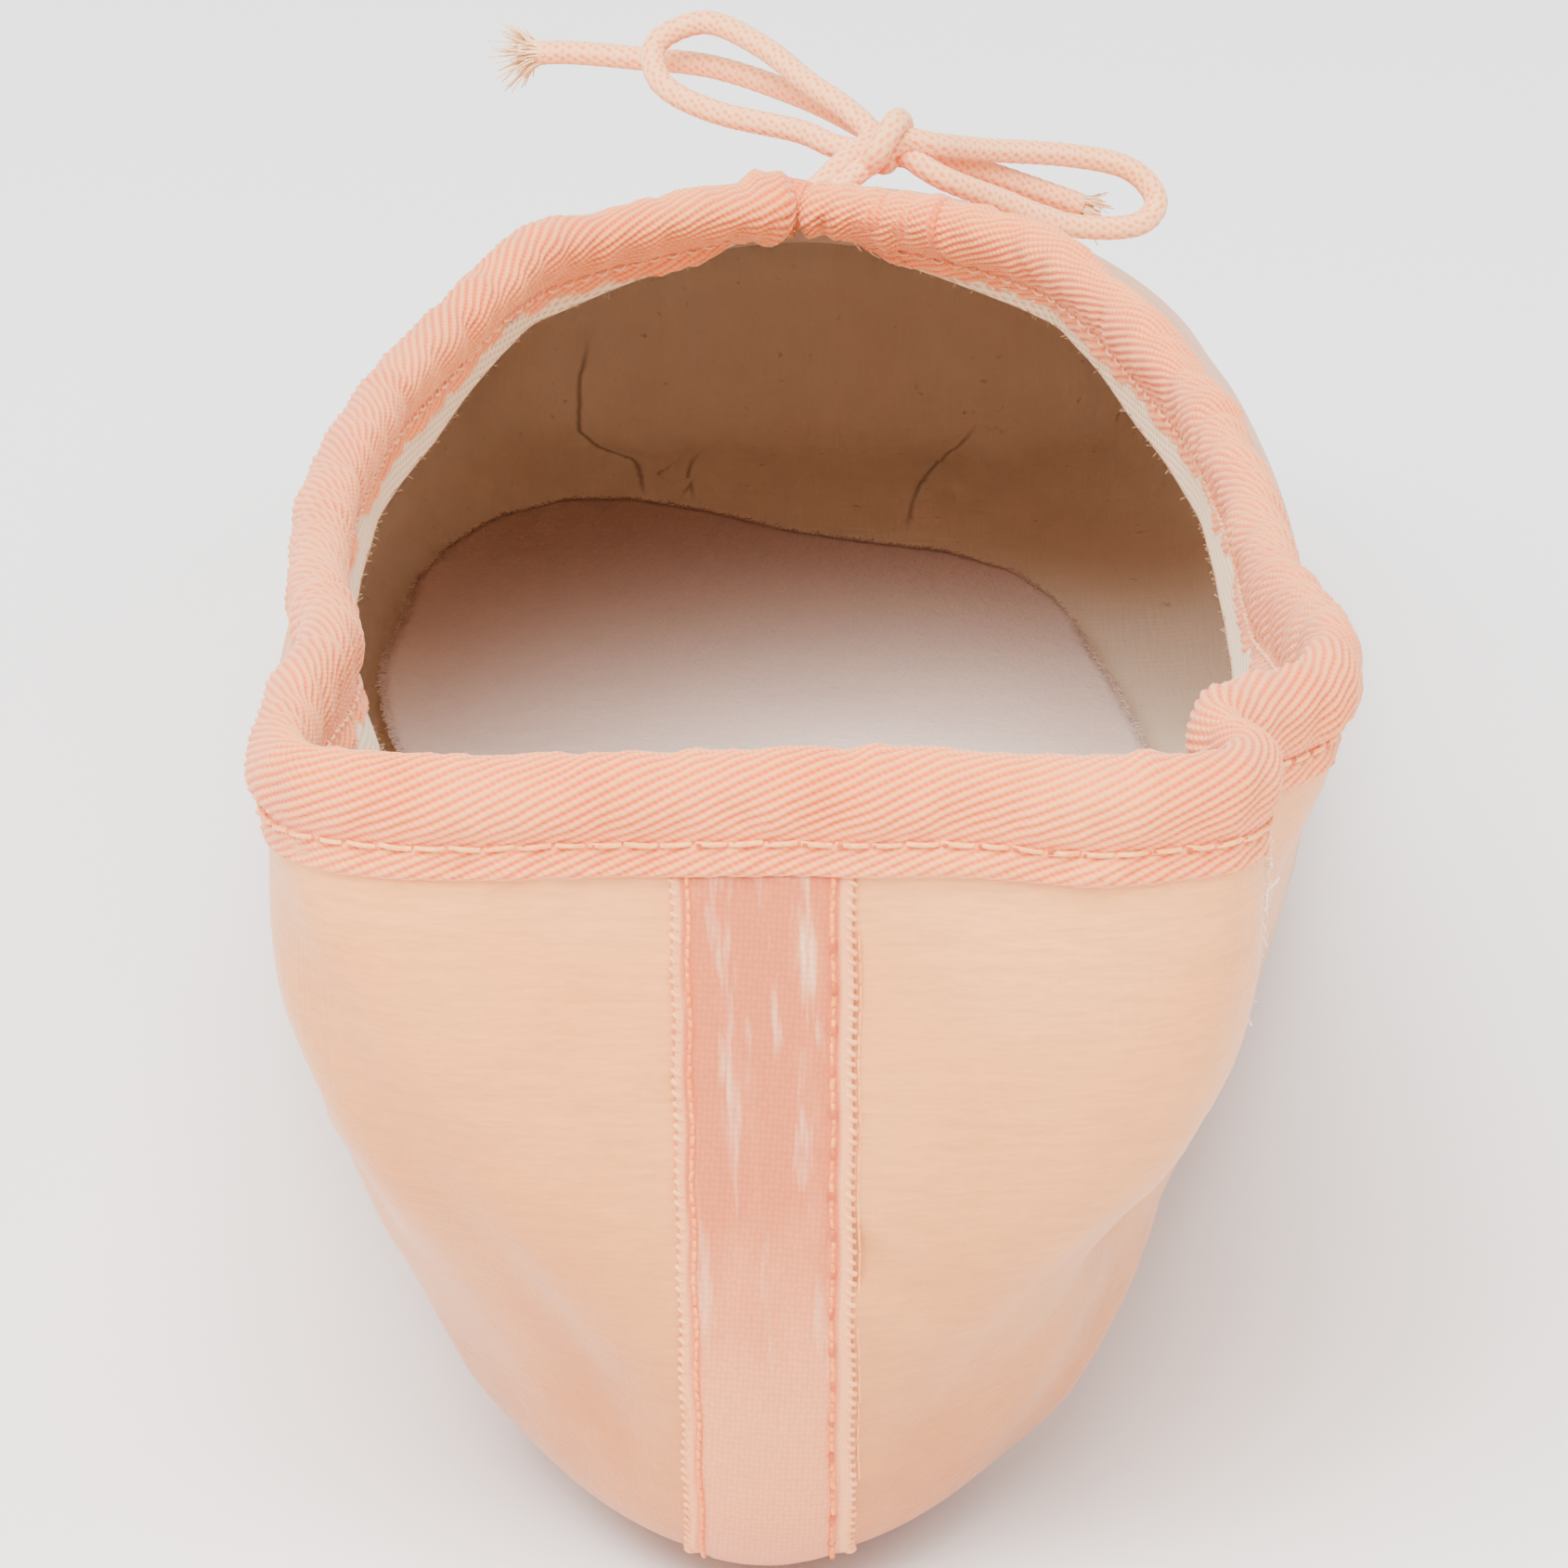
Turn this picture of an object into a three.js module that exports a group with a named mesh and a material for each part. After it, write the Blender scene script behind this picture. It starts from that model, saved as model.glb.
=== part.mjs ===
// A pointe shoe that stands empty on its sole. Millimetres, +Z up, the toe towards +Y.
// The origin is on the floor, below the middle of the shoe's length and width.
// "Run" is the distance along the shoe from the back of the heel to the toe.

import * as THREE from "three";
import { mergeVertices } from "three/addons/utils/BufferGeometryUtils.js";

// ---- driving dimensions ----

const TOE_RUN = 230;
const HEEL_AXIS_RUN = 30;
const THROAT_RUN = 141;
const MIDDLE_RUN = 114.4;

const QUARTER_WALL = 2;
const BOX_WALL = 3;
const PLATFORM_WALL = 3.5;
const PLATFORM_EDGE_RADIUS = 3.5;
const GAP = 0.3;

const OUTSOLE_THICKNESS = 2.7;
const OUTSOLE_MARGIN = 4.5;
const INSOLE_THICKNESS = 3;

const BINDING_HALF_WIDTH = 2.3;
const BINDING_RISE = 2.4;
const BINDING_DROP = 4.8;
const BINDING_CLEARANCE = 0.4;

const CORD_DIAMETER = 1.8;

// ---- the last: one row for each section across the shoe ----
// bottom and flat: height and half width of the flat underside
// low, mid, high: control points of the side, each a half width and a height
// edge: the collar's edge, which meets the middle line in front of the throat

const SECTION_COLUMNS = [
  "run", "bottom", "flat", "lowX", "lowZ", "midX", "midZ", "highX", "highZ", "edgeX", "edgeZ",
];
const SECTION_ROWS = [
  [30, 3.0, 13, 19.0, 5.2, 24.3, 16, 32.2, 34, 32.6, 57.2],
  [42, 3.0, 12.5, 22.0, 5.8, 28.5, 18.5, 32.9, 36.0, 32.6, 54.9],
  [55, 4.6, 12, 25.0, 7.6, 33.0, 21.5, 33.5, 38, 32.5, 52.4],
  [80, 5.8, 12.5, 31.5, 9, 37.5, 24, 35.0, 38, 33.2, 49.4],
  [105, 5.0, 15, 36.5, 9, 39.4, 26, 34.8, 40, 31.0, 49.5],
  [120, 4.2, 17.5, 39.5, 8, 38.6, 27, 31.2, 42.5, 26.2, 51.3],
  [132, 3.6, 19.5, 41.0, 7, 38.0, 30.5, 25.6, 48, 19.4, 53.8],
  [141, 3.2, 21, 41.5, 6, 37.4, 31.5, 20.0, 51.6, 0, 55.2],
  [155, 3.0, 22, 42.0, 5, 38.2, 27.5, 19.0, 48.2, 0, 50.4],
  [172, 3.0, 22, 42.0, 4.5, 39.0, 26, 20.0, 44, 0, 44.8],
  [195, 4.0, 19, 38.5, 5, 37.5, 25, 20.5, 37.8, 0, 38.5],
  [215, 5.6, 15, 32.0, 6.5, 32.0, 22, 18.5, 33, 0, 33.0],
  [230, 7.0, 12, 26.5, 7.5, 28.5, 20, 16.0, 28.8, 0, 29.0],
];

// The heel's back line: control points, each a distance behind the heel axis and a height.
const HEEL_BACK_LINE = [[20, 3.0], [26, 3.0], [29.3, 6.5], [31.4, 20], [30.5, 41], [28.8, 58.4]];

// The heel seen from above is an egg low down and nearly a rectangle at the collar.
const HEEL_POWER_LOW = 2;
const HEEL_POWER_HIGH = 7;
const HEEL_POWER_START = 10;
const HEEL_POWER_FULL = 46;
const HEEL_EGG = 0.2;
const HEEL_EGG_FULL = 14;
const HEEL_EGG_END = 30;

// Soft folds in the quarters: how far out, where behind the heel axis, how far they reach.
const FOLD_START_HEIGHT = 18;
const FOLD_FULL_HEIGHT = 52;
const RIGHT_FOLD_IN = { depth: -3.2, behind: 15.8, reachBack: 4.2, reachFront: 5 };
const RIGHT_FOLD_OUT = { depth: 4.2, behind: 2, reachBack: 8, reachFront: 40 };
const LEFT_FOLD_IN = { depth: -2.3, behind: -3, reachBack: 14, reachFront: 18 };

const SOLE_COLUMNS = ["run", "half"];
const SOLE_ROWS = [[32, 13], [55, 12], [80, 13], [110, 19], [140, 24], [165, 24.5], [190, 20], [206, 16]];
const SOLE_ENDS = { backRun: 32, backReach: 13, frontRun: 188, frontReach: 18 };

const INSOLE_COLUMNS = ["run", "centre", "half"];
const INSOLE_ROWS = [
  [28, 0, 11.5], [55, 0, 15], [80, 0, 20], [110, -0.5, 25.5], [140, -1, 28.5],
  [160, -1.8, 29], [182, -4, 26], [196, -8, 22], [203, -10, 20],
];
const INSOLE_ENDS = { backRun: 28, backReach: 15, frontRun: 189, frontReach: 14 };

// ---- curves through the tables ----

// A smooth curve through rising or falling values that never overshoots them.
function interpolate(xs, ys, x) {
  const count = xs.length;
  const slopes = new Array(count).fill(0);
  for (let i = 1; i < count - 1; i += 1) {
    const before = (ys[i] - ys[i - 1]) / (xs[i] - xs[i - 1]);
    const after = (ys[i + 1] - ys[i]) / (xs[i + 1] - xs[i]);
    if (before * after > 0) {
      const weightBefore = 2 * (xs[i + 1] - xs[i]) + (xs[i] - xs[i - 1]);
      const weightAfter = (xs[i + 1] - xs[i]) + 2 * (xs[i] - xs[i - 1]);
      slopes[i] = (weightBefore + weightAfter) / (weightBefore / before + weightAfter / after);
    }
  }
  slopes[count - 1] = (ys[count - 1] - ys[count - 2]) / (xs[count - 1] - xs[count - 2]);
  let k = 0;
  while (k < count - 2 && x >= xs[k + 1]) k += 1;
  const step = xs[k + 1] - xs[k];
  const t = THREE.MathUtils.clamp((x - xs[k]) / step, 0, 1);
  return (1 + 2 * t) * (1 - t) ** 2 * ys[k] + t * (1 - t) ** 2 * step * slopes[k]
    + t * t * (3 - 2 * t) * ys[k + 1] + t * t * (t - 1) * step * slopes[k + 1];
}

function readTable(columns, rows, name, run) {
  const runs = rows.map((row) => row[0]);
  const values = rows.map((row) => row[columns.indexOf(name)]);
  return interpolate(runs, values, run);
}

// The edge's half width is interpolated on its square, which rounds the throat.
function readSection(run) {
  const section = {};
  for (const name of SECTION_COLUMNS.slice(1)) {
    section[name] = readTable(SECTION_COLUMNS, SECTION_ROWS, name, run);
  }
  const runs = SECTION_ROWS.map((row) => row[0]);
  const squares = SECTION_ROWS.map((row) => row[SECTION_COLUMNS.indexOf("edgeX")] ** 2);
  section.edgeX = Math.sqrt(Math.max(0, interpolate(runs, squares, run)));
  return section;
}

// Cubic B-spline on six control points that starts at the first and ends at the last.
const KNOTS = [0, 0, 0, 0, 1 / 3, 2 / 3, 1, 1, 1, 1];
const DEGREE = 3;

function splineWeights(t) {
  const at = Math.min(t, 1 - 1e-9);
  let weights = KNOTS.slice(0, -1).map((knot, i) => (knot <= at && at < KNOTS[i + 1] ? 1 : 0));
  for (let degree = 1; degree <= DEGREE; degree += 1) {
    weights = weights.slice(0, -1).map((weight, i) => {
      const rise = KNOTS[i + degree] - KNOTS[i];
      const fall = KNOTS[i + degree + 1] - KNOTS[i + 1];
      const up = rise > 0 ? ((at - KNOTS[i]) / rise) * weight : 0;
      const down = fall > 0 ? ((KNOTS[i + degree + 1] - at) / fall) * weights[i + 1] : 0;
      return up + down;
    });
  }
  return weights;
}

const FLAT_STEPS = 2;
const SIDE_STEPS = 15;
const SIDE_WEIGHTS = Array.from({ length: SIDE_STEPS + 1 }, (_, i) => splineWeights(i / SIDE_STEPS));

// Half a section as [distance from the middle, height], from the hole or middle line up.
function halfProfile(controls, hole) {
  const profile = [];
  for (let i = 0; i < FLAT_STEPS; i += 1) {
    profile.push([hole + ((controls[0][0] - hole) * i) / FLAT_STEPS, controls[0][1]]);
  }
  for (const weights of SIDE_WEIGHTS) {
    const x = weights.reduce((sum, weight, i) => sum + weight * controls[i][0], 0);
    const z = weights.reduce((sum, weight, i) => sum + weight * controls[i][1], 0);
    profile.push([x, z]);
  }
  return profile;
}

function sectionProfile(run, hole) {
  const at = readSection(run);
  const controls = [
    [at.flat, at.bottom],
    [at.flat + 0.5 * (at.lowX - at.flat), at.bottom],
    [at.lowX, at.lowZ],
    [at.midX, at.midZ],
    [at.highX, at.highZ],
    [at.edgeX, at.edgeZ],
  ];
  return halfProfile(controls, hole);
}

// Distance from the heel axis to the heel's outline, a superellipse that narrows backwards.
function heelRadius(angle, across, behind, power, egg) {
  let near = 0;
  let far = 2 * Math.max(across, behind);
  for (let i = 0; i < 40; i += 1) {
    const radius = (near + far) / 2;
    const back = (radius * Math.sin(angle)) / behind;
    const narrowed = across * Math.max(0.05, 1 - egg * back);
    const inside = ((radius * Math.cos(angle)) / narrowed) ** power + back ** power < 1;
    if (inside) near = radius;
    else far = radius;
  }
  return near;
}

// The heel's section on a plane turned about the heel axis, 0 across and 90 degrees back.
function heelProfile(angle, hole) {
  const across = sectionProfile(HEEL_AXIS_RUN, hole);
  const behind = halfProfile(HEEL_BACK_LINE, hole);
  return across.map(([acrossX, acrossZ], i) => {
    const [behindX, behindZ] = behind[i];
    const square = THREE.MathUtils.smoothstep(acrossZ, HEEL_POWER_START, HEEL_POWER_FULL);
    const power = THREE.MathUtils.lerp(HEEL_POWER_LOW, HEEL_POWER_HIGH, square);
    const egg = HEEL_EGG * (1 - THREE.MathUtils.smoothstep(acrossZ, HEEL_EGG_FULL, HEEL_EGG_END));
    const radius = heelRadius(angle, acrossX, behindX, power, egg);
    return [radius, THREE.MathUtils.lerp(acrossZ, behindZ, Math.sin(angle) ** 2)];
  });
}

function foldDepth(fold, behind) {
  const reach = behind < fold.behind ? fold.reachFront : fold.reachBack;
  return fold.depth * Math.exp(-(((behind - fold.behind) / reach) ** 2));
}

// Pushes a point of the side out or in where the soft quarter folds. Side is 1 right, -1 left.
function foldedX(x, behind, height, side) {
  const grow = THREE.MathUtils.smoothstep(height, FOLD_START_HEIGHT, FOLD_FULL_HEIGHT);
  const depth = side > 0
    ? foldDepth(RIGHT_FOLD_IN, behind) + foldDepth(RIGHT_FOLD_OUT, behind)
    : foldDepth(LEFT_FOLD_IN, behind);
  return x * (1 + (grow * depth) / HEEL_AXIS_RUN);
}

// ---- wall ----

function wallThickness(run, rise) {
  const forward = THREE.MathUtils.smoothstep(run, 150, 175);
  const above = THREE.MathUtils.smoothstep(rise, 1, 10);
  return QUARTER_WALL + (BOX_WALL - QUARTER_WALL) * forward * above;
}

// The same half section one wall further in.
function insetProfile(profile, run) {
  const last = profile.length - 1;
  const closed = profile[last][0] < 1e-6;
  return profile.map(([x, z], i) => {
    const [beforeX, beforeZ] = profile[Math.max(0, i - 1)];
    const [afterX, afterZ] = profile[Math.min(last, i + 1)];
    const length = Math.hypot(afterX - beforeX, afterZ - beforeZ);
    const wall = wallThickness(run, z - profile[0][1]);
    if (i <= FLAT_STEPS) return [x, z + wall];
    if (i === last && closed) return [0, z - wall];
    const inX = x - (wall * (afterZ - beforeZ)) / length;
    const inZ = z + (wall * (afterX - beforeX)) / length;
    return [Math.max(0, inX), inZ];
  });
}

// ---- faces ----

function addTriangle(faces, a, b, c, flipped) {
  if (a.distanceTo(b) < 1e-4 || b.distanceTo(c) < 1e-4 || c.distanceTo(a) < 1e-4) return;
  faces.push(flipped ? [a, c, b] : [a, b, c]);
}

// Joins two rows of points with the same number of points.
function addStrip(faces, rowA, rowB, flipped) {
  for (let k = 0; k < rowA.length - 1; k += 1) {
    addTriangle(faces, rowA[k], rowA[k + 1], rowB[k + 1], flipped);
    addTriangle(faces, rowA[k], rowB[k + 1], rowB[k], flipped);
  }
}

function addSheet(faces, rows, flipped) {
  for (let i = 0; i < rows.length - 1; i += 1) addStrip(faces, rows[i], rows[i + 1], flipped);
}

function makeMesh(name, geometry, material) {
  const mesh = new THREE.Mesh(geometry, new THREE.MeshStandardMaterial(material));
  mesh.name = name;
  return mesh;
}

function closedGeometry(faces) {
  const positions = faces.flatMap((face) => face.flatMap((point) => [point.x, point.y, point.z]));
  const geometry = new THREE.BufferGeometry();
  geometry.setAttribute("position", new THREE.Float32BufferAttribute(positions, 3));
  const merged = mergeVertices(geometry, 1e-3);
  merged.computeVertexNormals();
  return merged;
}

// ---- sole outlines ----

// Rounds off a width table at both ends with quarter ellipses.
function roundEnds(run, ends) {
  const back = THREE.MathUtils.clamp((ends.backRun - run) / ends.backReach, 0, 1);
  const front = THREE.MathUtils.clamp((run - ends.frontRun) / ends.frontReach, 0, 1);
  return Math.sqrt(1 - back * back) * Math.sqrt(1 - front * front);
}

function soleHalfWidth(run) {
  return readTable(SOLE_COLUMNS, SOLE_ROWS, "half", run) * roundEnds(run, SOLE_ENDS);
}

// The upper is open underneath inside this half width, where the sole closes it.
function holeHalfWidth(run) {
  if (run <= HEEL_AXIS_RUN) return SOLE_ROWS[0][1] - OUTSOLE_MARGIN;
  const shifted = run + OUTSOLE_MARGIN;
  const frontEnd = SOLE_ENDS.frontRun + SOLE_ENDS.frontReach;
  if (shifted >= frontEnd) return 0;
  return Math.max(0, soleHalfWidth(shifted) - OUTSOLE_MARGIN);
}

// ---- upper ----

function placePoint([x, z], run, side) {
  const behind = HEEL_AXIS_RUN - run;
  return new THREE.Vector3(side * foldedX(x, behind, z, side), run - MIDDLE_RUN, z);
}

function placeHeelPoint([radius, z], angle, side) {
  const behind = radius * Math.sin(angle);
  const x = angle === Math.PI / 2 ? 0 : foldedX(radius * Math.cos(angle), behind, z, side);
  return new THREE.Vector3(side * x, HEEL_AXIS_RUN - behind - MIDDLE_RUN, z);
}

// Runs of the sections in front of the heel, denser at the throat where the edge turns.
function sectionRuns() {
  const runs = [221, 213, 204, 195, 187, 179, 170, 162, 154, 147];
  const steps = 19;
  for (let i = 0; i <= steps; i += 1) {
    runs.push(THROAT_RUN - (THROAT_RUN - HEEL_AXIS_RUN) * (i / steps) ** 1.6);
  }
  return runs;
}

const HEEL_ANGLES = [6, 12, 18, 23, 28, 33, 38, 42, 46, 52, 60, 70, 80, 90]
  .map((degrees) => THREE.MathUtils.degToRad(degrees));

// One side of the upper: outer rows, inner rows and the rows' places.
function upperSide(side) {
  const outer = [];
  const inner = [];
  const open = [];
  const platform = sectionProfile(TOE_RUN - PLATFORM_EDGE_RADIUS, 0);
  const widest = Math.max(...platform.map(([x]) => x));
  const top = Math.max(...platform.map(([, z]) => z));
  const middle = (platform[0][1] + top) / 2;
  const edgeSteps = 3;
  for (let i = 0; i <= edgeSteps; i += 1) {
    const turn = (Math.PI / 2) * (i / edgeSteps);
    const run = TOE_RUN - PLATFORM_EDGE_RADIUS * (1 - Math.cos(turn));
    const inset = PLATFORM_EDGE_RADIUS * (1 - Math.sin(turn));
    const shrinkX = (widest - inset) / widest;
    const shrinkZ = (top - middle - inset) / (top - middle);
    const ring = platform.map(([x, z]) => [x * shrinkX, middle + (z - middle) * shrinkZ]);
    outer.push(ring.map((point) => placePoint(point, run, side)));
  }
  const innerToe = insetProfile(sectionProfile(TOE_RUN - PLATFORM_WALL, 0), TOE_RUN);
  inner.push(innerToe.map((point) => placePoint(point, TOE_RUN - PLATFORM_WALL, side)));
  const beforeOpen = { outer: outer.length, inner: inner.length };
  for (const run of sectionRuns()) {
    const hole = holeHalfWidth(run);
    const profile = sectionProfile(run, hole);
    outer.push(profile.map((point) => placePoint(point, run, side)));
    inner.push(insetProfile(profile, run).map((point) => placePoint(point, run, side)));
    open.push({ hole: hole > 0, collar: run <= THROAT_RUN });
  }
  for (const angle of HEEL_ANGLES) {
    const profile = heelProfile(angle, holeHalfWidth(0));
    outer.push(profile.map((point) => placeHeelPoint(point, angle, side)));
    const inset = insetProfile(profile, 0);
    inner.push(inset.map((point) => placeHeelPoint(point, angle, side)));
    open.push({ hole: true, collar: true });
  }
  return { outer, inner, open, beforeOpen };
}

// The strip between the outer and the inner wall, along the collar or round the hole.
function addRim(faces, half, index, isOpen, flipped) {
  for (let i = 0; i < half.open.length - 1; i += 1) {
    if (isOpen(half.open[i + 1])) {
      const rows = [i, i + 1].map((k) => [
        half.outer[half.beforeOpen.outer + k].at(index),
        half.inner[half.beforeOpen.inner + k].at(index),
      ]);
      addStrip(faces, rows[0], rows[1], flipped);
    }
  }
}

function makeUpper() {
  const faces = [];
  const right = upperSide(1);
  const left = upperSide(-1);
  for (const [half, isLeft] of [[right, false], [left, true]]) {
    addSheet(faces, half.outer, isLeft);
    addSheet(faces, half.inner, !isLeft);
    const collarRim = (place) => place.collar;
    const holeRim = (place) => place.hole;
    const collarStart = half.open.findIndex(collarRim);
    const collarHalf = { ...half, open: half.open.map((place, i) => ({ collar: i > collarStart })) };
    addRim(faces, collarHalf, -1, collarRim, isLeft);
    addRim(faces, half, 0, holeRim, !isLeft);
  }
  addStrip(faces, right.outer[0], left.outer[0], true);
  addStrip(faces, right.inner[0], left.inner[0], false);
  return makeMesh("upper", closedGeometry(faces), { color: 0xefcdb4, roughness: 0.5, metalness: 0 });
}

// ---- sole and insole ----

// A slab between a lower and an upper surface, from rows of points across the shoe.
function slabGeometry(lowerRows, upperRows) {
  const faces = [];
  addSheet(faces, upperRows, false);
  addSheet(faces, lowerRows, true);
  for (let i = 0; i < lowerRows.length - 1; i += 1) {
    addStrip(faces, [upperRows[i][0], lowerRows[i][0]], [upperRows[i + 1][0], lowerRows[i + 1][0]], true);
    const rights = [upperRows[i].at(-1), lowerRows[i].at(-1)];
    addStrip(faces, rights, [upperRows[i + 1].at(-1), lowerRows[i + 1].at(-1)], false);
  }
  addStrip(faces, upperRows[0], lowerRows[0], true);
  addStrip(faces, upperRows.at(-1), lowerRows.at(-1), false);
  return closedGeometry(faces);
}

// Runs from one end to the other, closer together at the round ends.
function outlineRuns(ends, endSteps, middleSteps) {
  const runs = [];
  const nearlyRound = 0.06;
  for (let i = 0; i < endSteps; i += 1) {
    const turn = (Math.PI / 2) * (nearlyRound + ((1 - nearlyRound) * i) / endSteps);
    runs.push(ends.backRun - ends.backReach * Math.cos(turn));
  }
  for (let i = 0; i <= middleSteps; i += 1) {
    runs.push(THREE.MathUtils.lerp(ends.backRun, ends.frontRun, i / middleSteps));
  }
  for (let i = endSteps - 1; i >= 0; i -= 1) {
    const turn = (Math.PI / 2) * (nearlyRound + ((1 - nearlyRound) * i) / endSteps);
    runs.push(ends.frontRun + ends.frontReach * Math.cos(turn));
  }
  return runs;
}

function bottomHeight(run) {
  return readSection(Math.max(run, HEEL_AXIS_RUN)).bottom;
}

function makeOutsole() {
  const acrossSteps = 4;
  const lower = [];
  const upper = [];
  for (const run of outlineRuns(SOLE_ENDS, 6, 22)) {
    const half = soleHalfWidth(run);
    const top = bottomHeight(run) - GAP;
    const places = Array.from({ length: acrossSteps + 1 }, (_, i) => 1 - (2 * i) / acrossSteps);
    upper.push(places.map((part) => new THREE.Vector3(-part * half, run - MIDDLE_RUN, top)));
    lower.push(places.map((part) => (
      new THREE.Vector3(-part * half, run - MIDDLE_RUN, top - OUTSOLE_THICKNESS)
    )));
  }
  const geometry = slabGeometry(lower, upper);
  return makeMesh("outsole", geometry, { color: 0xb98d63, roughness: 0.8, metalness: 0 });
}

// Height where a profile first reaches a distance from the middle line.
function heightAlong(profile, x) {
  const next = profile.findIndex(([distance]) => distance >= x);
  if (next <= 0) return profile[0][1];
  const [fromX, fromZ] = profile[next - 1];
  const [toX, toZ] = profile[next];
  return fromZ + ((toZ - fromZ) * (x - fromX)) / (toX - fromX);
}

function floorHeight(run, x) {
  return heightAlong(sectionProfile(Math.max(run, HEEL_AXIS_RUN), 0), x);
}

function roofHeight(run, x) {
  return heightAlong(sectionProfile(run, 0).reverse(), x);
}

// The insole lies on the upper's turned-in margin and curls up slightly at its edges.
function makeInsole() {
  const acrossSteps = 8;
  const lower = [];
  const upper = [];
  for (const run of outlineRuns(INSOLE_ENDS, 7, 20)) {
    const centre = readTable(INSOLE_COLUMNS, INSOLE_ROWS, "centre", run);
    const half = readTable(INSOLE_COLUMNS, INSOLE_ROWS, "half", run) * roundEnds(run, INSOLE_ENDS);
    const floor = bottomHeight(run) + QUARTER_WALL + GAP;
    const lowerRow = [];
    const upperRow = [];
    for (let i = 0; i <= acrossSteps; i += 1) {
      const x = centre - half + (2 * half * i) / acrossSteps;
      const lift = 1.25 * (floorHeight(run, Math.abs(x)) - bottomHeight(run));
      lowerRow.push(new THREE.Vector3(x, run - MIDDLE_RUN, floor + lift));
      upperRow.push(new THREE.Vector3(x, run - MIDDLE_RUN, floor + lift + INSOLE_THICKNESS));
    }
    lower.push(lowerRow);
    upper.push(upperRow);
  }
  const geometry = slabGeometry(lower, upper);
  return makeMesh("insole", geometry, { color: 0xdcc6ba, roughness: 0.95, metalness: 0 });
}

// ---- binding: the folded tape round the collar, which the drawstring runs in ----

// Outline across the tape: [outwards from the wall's middle, above the wall's edge].
const BINDING_SLOT = QUARTER_WALL / 2 + BINDING_CLEARANCE;
const BINDING_OUTLINE = [
  [BINDING_SLOT + 0.25, -BINDING_DROP],
  [BINDING_HALF_WIDTH - 0.1, -BINDING_DROP],
  [BINDING_HALF_WIDTH, -1.2],
  [BINDING_HALF_WIDTH * 0.85, 1.2],
  [BINDING_HALF_WIDTH * 0.45, BINDING_RISE * 0.9],
  [0, BINDING_RISE],
  [-BINDING_HALF_WIDTH * 0.45, BINDING_RISE * 0.9],
  [-BINDING_HALF_WIDTH * 0.85, 1.2],
  [-BINDING_HALF_WIDTH, -1.2],
  [-BINDING_HALF_WIDTH + 0.1, -BINDING_DROP],
  [-BINDING_SLOT - 0.25, -BINDING_DROP],
  [-BINDING_SLOT, BINDING_CLEARANCE],
  [BINDING_SLOT, BINDING_CLEARANCE],
];

// How far the wall's surface is sampled to find the way it faces.
const SAMPLE = 2.5;
const STEEP_X = 20;

// The way the wall faces at its edge: across its slope at the throat, across its side elsewhere.
function edgeNormal(run, side, profile) {
  const [x, z] = profile.at(-1);
  if (run > HEEL_AXIS_RUN && x < STEEP_X) {
    const ahead = roofHeight(run + SAMPLE, x);
    const aside = roofHeight(run + SAMPLE, x + SAMPLE);
    return new THREE.Vector3((side * (ahead - aside)) / SAMPLE, (z - ahead) / SAMPLE, 1).normalize();
  }
  return null;
}

// The wall's edge on one side, from the throat to the back: outer and inner point, and normal.
function collarEdge(side, startRun) {
  const edge = [];
  const steps = 22;
  const sampleRow = -3;
  for (let i = 0; i <= steps; i += 1) {
    const run = startRun - (startRun - HEEL_AXIS_RUN) * (i / steps) ** 1.6;
    const profile = sectionProfile(run, 0);
    edge.push({
      outer: placePoint(profile.at(-1), run, side),
      inner: placePoint(insetProfile(profile, run).at(-1), run, side),
      below: placePoint(profile.at(sampleRow), run, side),
      normal: edgeNormal(run, side, profile),
    });
  }
  for (const angle of HEEL_ANGLES) {
    const profile = heelProfile(angle, 0);
    edge.push({
      outer: placeHeelPoint(profile.at(-1), angle, side),
      inner: placeHeelPoint(insetProfile(profile, 0).at(-1), angle, side),
      below: placeHeelPoint(profile.at(sampleRow), angle, side),
      normal: null,
    });
  }
  return edge;
}

function makeBinding() {
  const mouthRight = THROAT_RUN - 0.26;
  const mouthLeft = THROAT_RUN - 0.02;
  const right = collarEdge(1, mouthRight);
  const left = collarEdge(-1, mouthLeft).slice(0, -1).reverse();
  const edge = [...right, ...left];
  const rows = edge.map(({ outer, inner, below, normal }, i) => {
    const before = edge[Math.max(0, i - 1)].outer;
    const after = edge[Math.min(edge.length - 1, i + 1)].outer;
    const along = after.clone().sub(before).normalize();
    const out = normal ?? below.clone().sub(outer).cross(along);
    out.addScaledVector(along, -out.dot(along)).normalize();
    if (out.dot(outer.clone().sub(inner)) < 0) out.negate();
    const middle = outer.clone().addScaledVector(out, -QUARTER_WALL / 2);
    const up = along.clone().cross(out);
    return BINDING_OUTLINE.map(([across, rise]) => (
      middle.clone().addScaledVector(out, across).addScaledVector(up, rise)
    ));
  });
  const faces = [];
  addSheet(faces, rows.map((row) => [...row, row[0]]), false);
  for (const [row, flipped] of [[rows[0], true], [rows.at(-1), false]]) {
    const shape = BINDING_OUTLINE.map(([across, rise]) => new THREE.Vector2(across, rise));
    for (const [a, b, c] of THREE.ShapeUtils.triangulateShape(shape, [])) {
      addTriangle(faces, row[a], row[b], row[c], flipped);
    }
  }
  return makeMesh("binding", closedGeometry(faces), { color: 0xf4bfa0, roughness: 0.8, metalness: 0 });
}

// ---- drawstring: the knot, two loops and two ends of the bow ----

const KNOT_CENTRE = [6.8, 28.6, 59.6];
const KNOT_HALF_SIZE = [3.0, 2.2, 2.5];
const CORD_COLOUR = { color: 0xf2c3a3, roughness: 0.8, metalness: 0 };

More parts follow.
